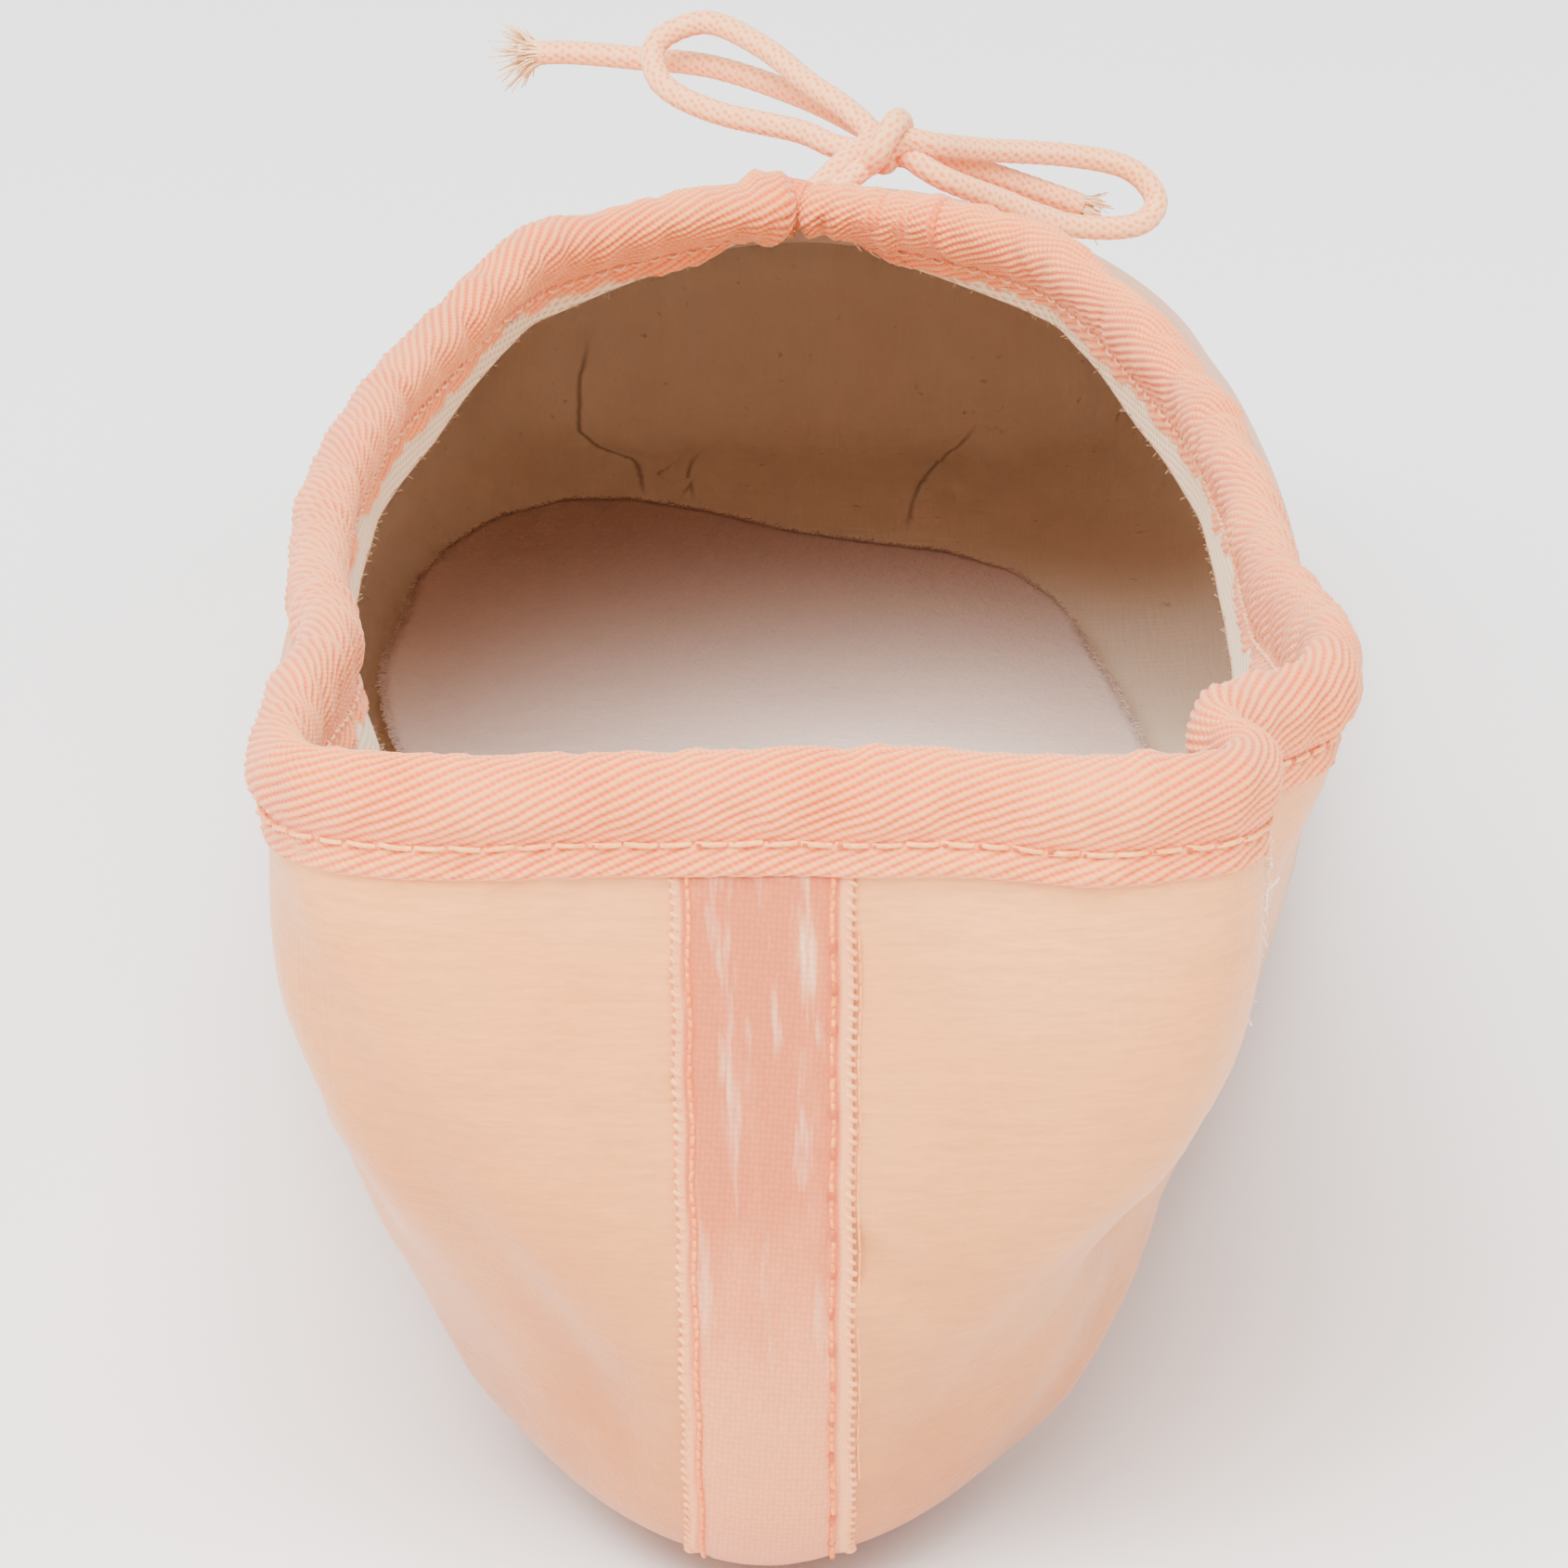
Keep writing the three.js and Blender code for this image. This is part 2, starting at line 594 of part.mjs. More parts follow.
// Routes of the drawstring outside the knot, in the shoe's own millimetres.
const CORD_ROUTES = [
  {
    name: "bow_loop_left",
    steps: 26,
    points: [
      [4.2, 31.4, 60.8], [0.8, 34.6, 62.2], [-2.8, 38.6, 63.9], [-7.1, 41.6, 64.9], [-10.9, 41.6, 63.0],
      [-10.4, 39.0, 60.6], [-6.3, 35.8, 59.4], [0.1, 31.8, 59.2], [3.0, 29.4, 58.7],
    ],
  },
  {
    name: "bow_loop_right",
    steps: 28,
    points: [
      [10.6, 29.6, 59.0], [14.4, 33.0, 57.6], [20.6, 36.4, 56.0], [25.3, 37.6, 54.4], [27.6, 36.6, 52.1],
      [26.0, 34.6, 50.6], [20.6, 32.6, 51.2], [15.6, 30.6, 54.0], [10.9, 28.2, 56.8],
    ],
  },
  {
    name: "bow_end_left",
    steps: 16,
    points: [
      [5.2, 33.6, 58.9], [0.6, 38.2, 59.6], [-6.4, 43.4, 60.2], [-12.9, 45.6, 60.3], [-18.7, 46.6, 60.4],
      [-22.0, 46.9, 60.2],
    ],
  },
  {
    name: "bow_end_right",
    steps: 10,
    points: [[9.2, 31.4, 57.2], [13.4, 34.0, 55.6], [18.0, 36.2, 53.3], [21.6, 37.2, 51.6]],
  },
];

function makeCord({ name, steps, points }) {
  const path = new THREE.CatmullRomCurve3(points.map((point) => new THREE.Vector3(...point)));
  const sides = 8;
  const section = Array.from({ length: sides }, (_, i) => {
    const turn = (2 * Math.PI * i) / sides;
    return new THREE.Vector2(Math.cos(turn), Math.sin(turn)).multiplyScalar(CORD_DIAMETER / 2);
  });
  const options = { steps, extrudePath: path, curveSegments: 1, bevelEnabled: false };
  const geometry = new THREE.ExtrudeGeometry(new THREE.Shape(section), options);
  return makeMesh(name, geometry, CORD_COLOUR);
}

function makeKnot() {
  const geometry = new THREE.SphereGeometry(1, 14, 9);
  geometry.scale(...KNOT_HALF_SIZE);
  const knot = makeMesh("bow_knot", geometry, CORD_COLOUR);
  knot.position.set(...KNOT_CENTRE);
  return knot;
}

const shoe = new THREE.Group();
shoe.add(makeUpper(), makeBinding(), makeOutsole(), makeInsole(), makeKnot());
shoe.add(...CORD_ROUTES.map(makeCord));

export default shoe;
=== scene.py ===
# A pointe shoe that stands empty on its sole, seen from behind the heel. Metres, toe towards +Y.
import math

import bmesh
import bpy
import numpy as np
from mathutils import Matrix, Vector, noise


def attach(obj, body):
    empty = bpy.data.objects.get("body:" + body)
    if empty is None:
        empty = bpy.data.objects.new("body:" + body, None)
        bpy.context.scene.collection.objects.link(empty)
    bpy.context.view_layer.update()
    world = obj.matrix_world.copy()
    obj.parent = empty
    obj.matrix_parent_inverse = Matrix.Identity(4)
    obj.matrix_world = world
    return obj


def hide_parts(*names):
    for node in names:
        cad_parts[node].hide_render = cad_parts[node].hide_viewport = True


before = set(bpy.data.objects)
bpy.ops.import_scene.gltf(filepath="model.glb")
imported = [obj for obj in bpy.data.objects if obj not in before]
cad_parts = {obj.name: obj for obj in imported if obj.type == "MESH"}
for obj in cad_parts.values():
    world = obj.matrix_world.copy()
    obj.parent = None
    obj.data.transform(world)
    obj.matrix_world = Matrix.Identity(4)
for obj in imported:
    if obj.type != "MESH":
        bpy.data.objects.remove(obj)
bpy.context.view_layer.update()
MM = 0.001

# ---- camera ----
# A long lens behind the heel, a little above the collar, which looks down into the shoe
# towards the toe. The shift only sets the shoe's place in the frame.

AIM = Vector((0, -0.1134, 0.061))
CAMERA_DISTANCE = 0.65
CAMERA_ELEVATION = math.radians(20.0)
CAMERA_AZIMUTH = math.radians(0.9)

backwards = Vector((
    math.sin(CAMERA_AZIMUTH) * math.cos(CAMERA_ELEVATION),
    -math.cos(CAMERA_AZIMUTH) * math.cos(CAMERA_ELEVATION),
    math.sin(CAMERA_ELEVATION),
))
camera = bpy.data.objects.new("camera", bpy.data.cameras.new("camera"))
camera.data.sensor_width = 36
camera.data.lens = 238.3
camera.data.shift_x = 0.011
camera.data.shift_y = -0.018
camera.location = AIM + backwards * CAMERA_DISTANCE
camera.rotation_euler = (-backwards).to_track_quat("-Z", "Y").to_euler()
bpy.context.collection.objects.link(camera)
bpy.context.scene.camera = camera


# ---- floor and lights ----
# A plain pale floor that runs out of view, one big soft light above the heel, a weaker one
# on each side, and an even pale sky.

FLOOR_RADIUS = 6.0
FLOOR_COLOUR = (0.93, 0.925, 0.92, 1)
SKY_COLOUR = (1.0, 0.99, 0.98, 1)
SKY_STRENGTH = 1.05


def add_node(tree, kind, settings=None, **inputs):
    """Adds a node. An input is named with _ for a space, or _0, _1 for its place."""
    made = tree.nodes.new(kind)
    for key, value in (settings or {}).items():
        setattr(made, key, value)
    for key, value in inputs.items():
        place = key[1:]
        socket = made.inputs[int(place)] if place.isdigit() else made.inputs[key.replace("_", " ")]
        if isinstance(value, bpy.types.NodeSocket):
            tree.links.new(value, socket)
        else:
            socket.default_value = value
    return made


def linear(red, green, blue):
    """A colour given as 0 to 255 on a screen, as the shaders take it."""
    parts = [
        ((part / 255 + 0.055) / 1.055) ** 2.4 if part > 10 else part / 3294
        for part in (red, green, blue)
    ]
    return (*parts, 1)


def blend(tree, share, first, second, way="MIX"):
    """The first colour turned by a share into the second, or multiplied by it."""
    mixed = add_node(
        tree, "ShaderNodeMix", {"data_type": "RGBA", "blend_type": way}, Factor=share, A=first, B=second,
    )
    return mixed.outputs["Result"]


def colours(tree, value, *stops):
    """A colour that follows a value through stops, each a place from 0 to 1 and a colour."""
    ramp = add_node(tree, "ShaderNodeValToRGB", Fac=value)
    ends = ramp.color_ramp.elements
    for end, (place, colour) in zip(ends, (stops[0], stops[-1])):
        end.position, end.color = place, colour
    for place, colour in stops[1:-1]:
        ends.new(place).color = colour
    return ramp.outputs["Color"]


def patches(tree, place, scale, detail, **more):
    """Soft random patches all over a surface, as a value from 0 to 1."""
    made = add_node(tree, "ShaderNodeTexNoise", Vector=place, Scale=scale, Detail=detail, **more)
    return made.outputs["Fac"]


def stretched(tree, place, scale, **more):
    """The same place, measured along each direction with a scale of its own."""
    return add_node(tree, "ShaderNodeMapping", Vector=place, Scale=scale, **more).outputs["Vector"]


def figure(tree, operation, *values, clamp=False):
    """A sum worked out at every spot of a surface or line."""
    inputs = {"_%d" % k: value for k, value in enumerate(values)}
    settings = {"operation": operation, "use_clamp": clamp}
    return add_node(tree, "ShaderNodeMath", settings, **inputs).outputs[0]


def rescale(tree, value, start, end, low, high):
    """Low where a value is at its start, high where it is at its end, and even between them."""
    return add_node(
        tree, "ShaderNodeMapRange", Value=value, From_Min=start, From_Max=end, To_Min=low, To_Max=high,
    ).outputs[0]


def new_finish(name, **shader_inputs):
    """A material with its shader, whose even values sit on the shader's own sockets."""
    finish = bpy.data.materials.new(name)
    finish.use_nodes = True
    shader = finish.node_tree.nodes["Principled BSDF"]
    for key, value in shader_inputs.items():
        shader.inputs[key.replace("_", " ")].default_value = value
    return finish, finish.node_tree, shader


def emboss(tree, shader, strength, depth, height):
    """Raises a pattern on the surface by a small depth in metres."""
    bump = add_node(tree, "ShaderNodeBump", Strength=strength, Distance=depth, Height=height)
    tree.links.new(bump.outputs["Normal"], shader.inputs["Normal"])


floor_finish, tree, shader = new_finish("floor_paint", Roughness=0.9)
spot = add_node(tree, "ShaderNodeTexCoord").outputs["Object"]
mottle = patches(tree, spot, 3.0, 2.0)
FLOOR_SHADE = (*(part * 0.985 for part in FLOOR_COLOUR[:3]), 1)
tint = blend(tree, mottle, FLOOR_COLOUR, FLOOR_SHADE)
tree.links.new(tint, shader.inputs["Base Color"])

floor_mesh = bpy.data.meshes.new("floor")
floor_points = [
    (FLOOR_RADIUS * math.cos(turn), FLOOR_RADIUS * math.sin(turn), 0)
    for turn in np.linspace(0, 2 * math.pi, 64, endpoint=False)
]
floor_mesh.from_pydata(floor_points, [], [list(range(64))])
floor_mesh.materials.append(floor_finish)
floor = bpy.data.objects.new("floor", floor_mesh)
bpy.context.collection.objects.link(floor)

sky = bpy.data.worlds.new("sky")
sky.use_nodes = True
sky.node_tree.nodes["Background"].inputs["Color"].default_value = SKY_COLOUR
sky.node_tree.nodes["Background"].inputs["Strength"].default_value = SKY_STRENGTH
bpy.context.scene.world = sky


def hang_light(name, azimuth, elevation, distance, size, power):
    """A square soft light that faces the shoe. Azimuth 0 is behind the heel, 90 to its right."""
    turn, rise = math.radians(azimuth), math.radians(elevation)
    away = Vector((
        math.sin(turn) * math.cos(rise), -math.cos(turn) * math.cos(rise), math.sin(rise),
    ))
    light = bpy.data.objects.new(name, bpy.data.lights.new(name, "AREA"))
    light.data.shape = "SQUARE"
    light.data.size = size
    light.data.energy = power
    light.location = away * distance + Vector((0, 0, 0.03))
    light.rotation_euler = (-away).to_track_quat("-Z", "Y").to_euler()
    bpy.context.collection.objects.link(light)


hang_light("soft_light_above", -14, 56, 1.5, 1.1, 66)
hang_light("soft_light_left", -75, 32, 1.6, 0.9, 12)
hang_light("soft_light_right", 70, 35, 1.6, 0.9, 10)


# ---- upper: the satin cover ----
# Peach satin over stiffened layers, cut as a vamp and two quarters and lasted round the foot.
# The form is lofted through the sections of the last; the toe ends in a flat oval platform.

HEEL_AXIS = 30.0
THROAT = 141.0
MIDDLE = 114.4
TOE = 230.0
PLATFORM_ROUNDING = 3.5
SATIN_THICKNESS = 0.6

# run, bottom, flat, low x, low z, mid x, mid z, high x, high z, edge x, edge z
SECTIONS = np.array([
    [30, 3.0, 13, 19.0, 5.2, 24.3, 16, 32.2, 34, 32.6, 57.2],
    [42, 3.0, 12.5, 22.0, 5.8, 28.5, 18.5, 32.9, 36.0, 32.6, 54.9],
    [55, 4.6, 12, 25.0, 7.6, 33.0, 21.5, 33.5, 38, 32.5, 52.4],
    [80, 5.8, 12.5, 31.5, 9, 37.5, 24, 35.0, 38, 33.2, 49.4],
    [105, 5.0, 15, 36.5, 9, 39.4, 26, 34.8, 40, 31.0, 49.5],
    [120, 4.2, 17.5, 39.5, 8, 38.6, 27, 31.2, 42.5, 26.2, 51.3],
    [132, 3.6, 19.5, 41.0, 7, 38.0, 30.5, 25.6, 48, 19.4, 53.8],
    [141, 3.2, 21, 41.5, 6, 37.4, 31.5, 20.0, 51.6, 0, 55.2],
    [155, 3.0, 22, 42.0, 5, 38.2, 27.5, 19.0, 48.2, 0, 50.4],
    [172, 3.0, 22, 42.0, 4.5, 39.0, 26, 20.0, 44, 0, 44.8],
    [195, 4.0, 19, 38.5, 5, 37.5, 25, 20.5, 37.8, 0, 38.5],
    [215, 5.6, 15, 32.0, 6.5, 32.0, 22, 18.5, 33, 0, 33.0],
    [230, 7.0, 12, 26.5, 7.5, 28.5, 20, 16.0, 28.8, 0, 29.0],
])
HEEL_BACK_LINE = np.array([[20, 3.0], [25, 3.0], [28.3, 7.0], [31.2, 20], [30.5, 41], [28.8, 58.4]])

SOLE_WIDTHS = np.array([
    [32, 13], [55, 12], [80, 13], [110, 19], [140, 24], [165, 24.5], [190, 20], [206, 16],
])
SOLE_BACK, SOLE_BACK_REACH, SOLE_FRONT, SOLE_FRONT_REACH = 32, 13, 188, 18
TURNED_UNDER = 4.5


def through(xs, ys, x):
    """A smooth curve through a column of a table, which never overshoots its values."""
    gaps, rises = np.diff(xs), np.diff(ys)
    ratios = rises / gaps
    slopes = np.zeros(len(xs))
    for i in range(1, len(xs) - 1):
        if ratios[i - 1] * ratios[i] > 0:
            before, after = 2 * gaps[i] + gaps[i - 1], gaps[i] + 2 * gaps[i - 1]
            slopes[i] = (before + after) / (before / ratios[i - 1] + after / ratios[i])
    slopes[-1] = ratios[-1]
    k = int(np.clip(np.searchsorted(xs, x, side="right") - 1, 0, len(xs) - 2))
    t = min(max((x - xs[k]) / gaps[k], 0), 1)
    return (
        (1 + 2 * t) * (1 - t) ** 2 * ys[k] + t * (1 - t) ** 2 * gaps[k] * slopes[k]
        + t * t * (3 - 2 * t) * ys[k + 1] + t * t * (t - 1) * gaps[k] * slopes[k + 1]
    )


def ease(x, start, end):
    part = np.clip((np.asarray(x, float) - start) / (end - start), 0, 1)
    return part * part * (3 - 2 * part)


def rise_weights(steps):
    """Weights of the six control points of a side, at each step from the sole to the edge."""
    knots = [0, 0, 0, 0, 1 / 3, 2 / 3, 1, 1, 1, 1]
    rows = []
    for at in np.minimum(steps, 1 - 1e-9):
        weights = [1.0 if low <= at < high else 0.0 for low, high in zip(knots, knots[1:])]
        for degree in (1, 2, 3):
            weights = [
                (((at - knots[i]) / (knots[i + degree] - knots[i]) * weights[i])
                 if knots[i + degree] > knots[i] else 0)
                + (((knots[i + degree + 1] - at) / (knots[i + degree + 1] - knots[i + 1]) * weights[i + 1])
                   if knots[i + degree + 1] > knots[i + 1] else 0)
                for i in range(len(weights) - 1)
            ]
        rows.append(weights)
    return np.array(rows)


def half_section(run, weights):
    """One side of a section: distances from the middle and heights."""
    runs = SECTIONS[:, 0]
    bottom, flat, low_x, low_z, mid_x, mid_z, high_x, high_z = [
        through(runs, SECTIONS[:, k], run) for k in range(1, 9)
    ]
    edge_x = math.sqrt(max(0, through(runs, SECTIONS[:, 9] ** 2, run)))
    edge_z = through(runs, SECTIONS[:, 10], run)
    controls = np.array([
        [flat, bottom], [(flat + low_x) / 2, bottom], [low_x, low_z],
        [mid_x, mid_z], [high_x, high_z], [edge_x, edge_z],
    ])
    return weights @ controls


def heel_section(angle, weights):
    """The heel on a plane turned about its axis, 0 across the shoe and a right angle back."""
    across, behind = half_section(HEEL_AXIS, weights), weights @ HEEL_BACK_LINE
    power = 2 + 5 * ease(across[:, 1], 10, 46)
    egg = 0.2 * (1 - ease(across[:, 1], 14, 30))
    near, far = np.zeros(len(across)), 2 * np.maximum(across[:, 0], behind[:, 0])
    for _ in range(36):
        radius = (near + far) / 2
        back = radius * np.sin(angle) / behind[:, 0]
        width = across[:, 0] * np.maximum(0.05, 1 - egg * back)
        inside = (radius * np.cos(angle) / width) ** power + back ** power < 1
        near, far = np.where(inside, radius, near), np.where(inside, far, radius)
    share = np.sin(angle) ** 2
    return np.column_stack([near, across[:, 1] * (1 - share) + behind[:, 1] * share])


def fold_shape(behind, depth, place, reach_back, reach_front):
    reach = np.where(behind < place, reach_front, reach_back)
    return depth * np.exp(-(((behind - place) / reach) ** 2))


def folded(x, behind, height, side):
    """The soft quarters lean out and fold in near the heel's corners."""
    if side > 0:
        depth = fold_shape(behind, -3.2, 15.8, 4.2, 5) + fold_shape(behind, 4.2, 2, 8, 40)
    else:
        depth = fold_shape(behind, -2.3, -3, 14, 18)
    return x * (1 + ease(height, 18, 52) * depth / HEEL_AXIS)


def inset(profile, wall):
    """The same line one wall further in."""
    step = np.gradient(profile, axis=0)
    length = np.maximum(np.hypot(step[:, 0], step[:, 1]), 1e-9)
    moved = np.column_stack([
        profile[:, 0] - wall * step[:, 1] / length, profile[:, 1] + wall * step[:, 0] / length,
    ])
    if profile[-1, 0] < 1e-6:
        moved[-1] = [0, profile[-1, 1] - np.broadcast_to(wall, len(profile))[-1]]
    moved[:, 0] = np.maximum(moved[:, 0], 0)
    return moved


def sole_half_width(run):
    back = min(max((SOLE_BACK - run) / SOLE_BACK_REACH, 0), 1)
    front = min(max((run - SOLE_FRONT) / SOLE_FRONT_REACH, 0), 1)
    width = through(SOLE_WIDTHS[:, 0], SOLE_WIDTHS[:, 1], run)
    return width * math.sqrt(1 - back * back) * math.sqrt(1 - front * front)


def hole_half_width(run):
    """The upper stays open underneath inside this half width, where the sole closes it."""
    if run <= HEEL_AXIS:
        return SOLE_WIDTHS[0, 1] - TURNED_UNDER
    if run + TURNED_UNDER >= SOLE_FRONT + SOLE_FRONT_REACH:
        return 0.0
    return max(0.0, sole_half_width(run + TURNED_UNDER) - TURNED_UNDER)


FLAT_STEPS = np.linspace(0, 1, 9)[:-1]
SIDE_WEIGHTS = rise_weights(np.linspace(0, 1, 76))


def wall_row(place, side, wall=0.0):
    """Points up one side, from under the sole to the collar or the vamp's middle line.

    Place is the run in front of the heel's axis, and behind it falls from 30 to 0 as the
    plane turns a right angle about the axis.
    """
    hole = hole_half_width(place)
    if place >= HEEL_AXIS:
        side_line = half_section(place, SIDE_WEIGHTS)
    else:
        angle = math.radians((HEEL_AXIS - place) * 90 / HEEL_AXIS)
        side_line = heel_section(angle, SIDE_WEIGHTS)
    start = side_line[0]
    hole = min(hole, start[0] - 0.4)
    flat_line = np.column_stack([hole + (start[0] - hole) * FLAT_STEPS, np.full(len(FLAT_STEPS), start[1])])
    profile = np.vstack([flat_line, side_line])
    if callable(wall):
        profile = inset(profile, wall(place, profile))
    elif wall:
        profile = inset(profile, wall)
    if place >= HEEL_AXIS:
        x, y = profile[:, 0], np.full(len(profile), place)
        behind = np.full(len(profile), HEEL_AXIS - place)
    else:
        behind = profile[:, 0] * math.sin(angle)
        x, y = profile[:, 0] * math.cos(angle), HEEL_AXIS - behind
        if place <= 0:
            x = np.zeros(len(profile))
    x = side * folded(x, behind, profile[:, 1], side)
    return np.column_stack([x, y - MIDDLE, profile[:, 1]])


def near_strokes(points, strokes):
    """How deep each point lies in the listed troughs: (depth, width, line of points)."""
    depth = np.zeros(len(points))
    for height, width, line in strokes:
        line = np.array(line, float)
        closest = np.full(len(points), 1e9)
        for a, b in zip(line, line[1:]):
            part = np.clip(((points - a) @ (b - a)) / ((b - a) @ (b - a)), 0, 1)
            closest = np.minimum(closest, np.linalg.norm(points - (a + part[:, None] * (b - a)), axis=1))
        depth += height * np.exp(-((closest / width) ** 2))
    return depth


# Troughs and soft ridges in the satin: depth (a ridge is below 0), width, and its line.
SATIN_FOLDS = [
    (2.3, 9.0, [(34, -86, 44), (33, -88, 37), (31, -91, 31), (28.5, -98, 28), (26, -97, 24)]),
    (1.3, 6.5, [(31, -96, 32), (29, -100, 28), (27, -99, 24)]),
    (-1.1, 5.0, [(24, -82, 14), (22, -86, 12), (20, -90, 9)]),
    (0.9, 4.5, [(-29, -103, 33), (-28, -105, 30), (-27, -101, 27)]),
    (-0.7, 4.5, [(-32, -100, 48), (-31, -105, 43)]),
    (-0.7, 4.5, [(-25, -96, 20), (-22, -89, 14), (-20, -90, 10)]),
    (1.3, 4.6, [(-31, -108, 48), (-27, -112, 39), (-22, -113, 31), (-16, -111, 21), (-12, -109, 14)]),
    (-0.6, 5.0, [(-22, -114, 46), (-17, -115, 36), (-11, -114, 26)]),
    (0.5, 2.5, [(-24, -108, 22), (-19, -108, 15), (-14, -105, 9)]),
    (0.7, 1.5, [(5.6, -115.3, 28.2), (8, -115, 26), (10.6, -114.2, 24.4)]),
    (-0.4, 2.0, [(7, -115, 24.4), (10.4, -114, 22.4), (14, -112, 21)]),
    (0.5, 3.6, [(9, -115, 48), (12, -115, 40), (15, -114, 33)]),
    (-0.6, 1.5, [
        (31.6, -107, 55), (31.4, -106.6, 48), (30.7, -106.1, 42), (29, -105, 34), (27.8, -101, 29.6),
    ]),
    (0.8, 2.6, [(30.6, -102.6, 50), (30.4, -102, 42), (29, -100, 34)]),
    (1.5, 3.8, [(28.5, -99, 32), (27, -100, 27), (25.5, -99, 23)]),
    (-0.9, 4.5, [(22.5, -98, 17.5), (19, -100, 13)]),
    (0.6, 3.0, [(22, -109, 26), (18, -110, 19), (12, -110, 13)]),
    (0.5, 3.0, [(37, -20, 40), (38, 5, 22), (37, 25, 12)]),
    (0.5, 3.0, [(-37, -14, 42), (-38, 8, 24), (-37, 28, 12)]),
    (0.35, 2.0, [(-20, 40, 50), (-8, 44, 48.5), (6, 43, 48.5), (20, 38, 50)]),
    (0.3, 1.6, [(-24, 50, 44), (-9, 53, 45.5), (5, 52, 46)]),
    (0.3, 2.5, [(30, 60, 34), (34, 80, 26), (32, 96, 20)]),
    (0.3, 2.5, [(-31, 58, 34), (-34, 82, 24)]),
]
SIDE_SEAM_RUN = 98.0
PLEATS = 15


def relief(points):
    """How far the satin sinks below the smooth form, with its seams and its toe pleats."""
    x, run, z = points[:, 0], points[:, 1] + MIDDLE, points[:, 2]
    depth = near_strokes(points, SATIN_FOLDS)
    lean = run - SIDE_SEAM_RUN - (z - 30) * 0.22
    depth += 0.5 * np.exp(-((lean / 1.15) ** 2)) * ease(z, 6, 12)
    beside = np.exp(-(((lean - 2.4) / 1.2) ** 2)) + np.exp(-(((lean + 2.4) / 1.2) ** 2))
    depth -= 0.16 * beside * ease(z, 6, 12)
    turn = np.arctan2(x, run - (SOLE_FRONT - 6))
    out = np.hypot(x, run - (SOLE_FRONT - 6))
    under = (1 - ease(z, 8, 13)) * ease(run, SOLE_FRONT - 2, SOLE_FRONT + 6) * ease(out, 14, 20)
    phase = (turn / math.pi * PLEATS * 1.15) % 1
    pleat = np.where(phase < 0.78, phase / 0.78, (1 - phase) / 0.22)
    depth += under * (1 - ease(out, 30, 44)) * (0.85 - 1.25 * pleat)
    return depth


def sheet_normals(rows):
    along, up = np.gradient(rows, axis=0), np.gradient(rows, axis=1)
    normals = np.cross(up, along)
    lengths = np.linalg.norm(normals, axis=2, keepdims=True)
    return normals / np.maximum(lengths, 1e-9)


def weld(name, points, faces, finish, outward=True, places=None):
    """A piece from points in millimetres, its shared points joined and its faces smooth.

    Places keep where each point lies on a tape or cord, for its pattern to follow.
    """
    mesh = bpy.data.meshes.new(name)
    mesh.from_pydata((np.asarray(points) * MM).tolist(), [], faces)
    if places is not None:
        held = mesh.attributes.new("tape_place", "FLOAT_VECTOR", "POINT")
        held.data.foreach_set("vector", np.asarray(places, float).ravel())
    shaped = bmesh.new()
    shaped.from_mesh(mesh)
    bmesh.ops.remove_doubles(shaped, verts=shaped.verts, dist=2e-6)
    bmesh.ops.dissolve_degenerate(shaped, edges=shaped.edges, dist=1e-7)
    if not outward:
        bmesh.ops.reverse_faces(shaped, faces=shaped.faces)
    for face in shaped.faces:
        face.smooth = True
    shaped.to_mesh(mesh)
    shaped.free()
    mesh.materials.append(finish)
    piece = bpy.data.objects.new(name, mesh)
    bpy.context.collection.objects.link(piece)
    return piece


def grid_faces(rows, columns, start=0, flip=False):
    faces = []
    for i in range(rows - 1):
        for j in range(columns - 1):
            a = start + i * columns + j
            corners = [a, a + 1, a + columns + 1, a + columns]
            faces.append(corners[::-1] if flip else corners)
    return faces


def two_sides(name, make_rows, finish, outward=True):
    """A right and a left sheet of rows joined on the middle line."""
    points, faces = [], []
    for side in (1, -1):
        rows = make_rows(side)
        faces += grid_faces(rows.shape[0], rows.shape[1], len(points), flip=side < 0)
        points += rows.reshape(-1, 3).tolist()
    return weld(name, points, faces, finish, outward)


def mark_depth(piece, name, strokes):
    """Keeps on each point how deep it lies in the troughs, for the colour's painted shade to follow."""
    points = np.array([point.co[:] for point in piece.data.vertices]) / MM
    held = piece.data.attributes.new(name, "FLOAT", "POINT")
    held.data.foreach_set("value", near_strokes(points, strokes))


def thicken(piece, thickness):
    """Gives a sheet its real thickness behind its face."""
    wall = piece.modifiers.new("thickness", "SOLIDIFY")
    wall.thickness = thickness * MM
    wall.offset = -1
    wall.use_even_offset = False


VAMP_STEPS = 56
FRONT_PLACES = np.concatenate([
    np.linspace(226, 143, VAMP_STEPS), np.linspace(142.5, THROAT, 4),
    THROAT - (THROAT - HEEL_AXIS) * np.linspace(0, 1, 96)[1:] ** 1.55,
])
HEEL_PLACES = HEEL_AXIS * (1 - np.linspace(0, 1, 47)[1:])
MAIN_PLACES = np.concatenate([FRONT_PLACES, HEEL_PLACES])


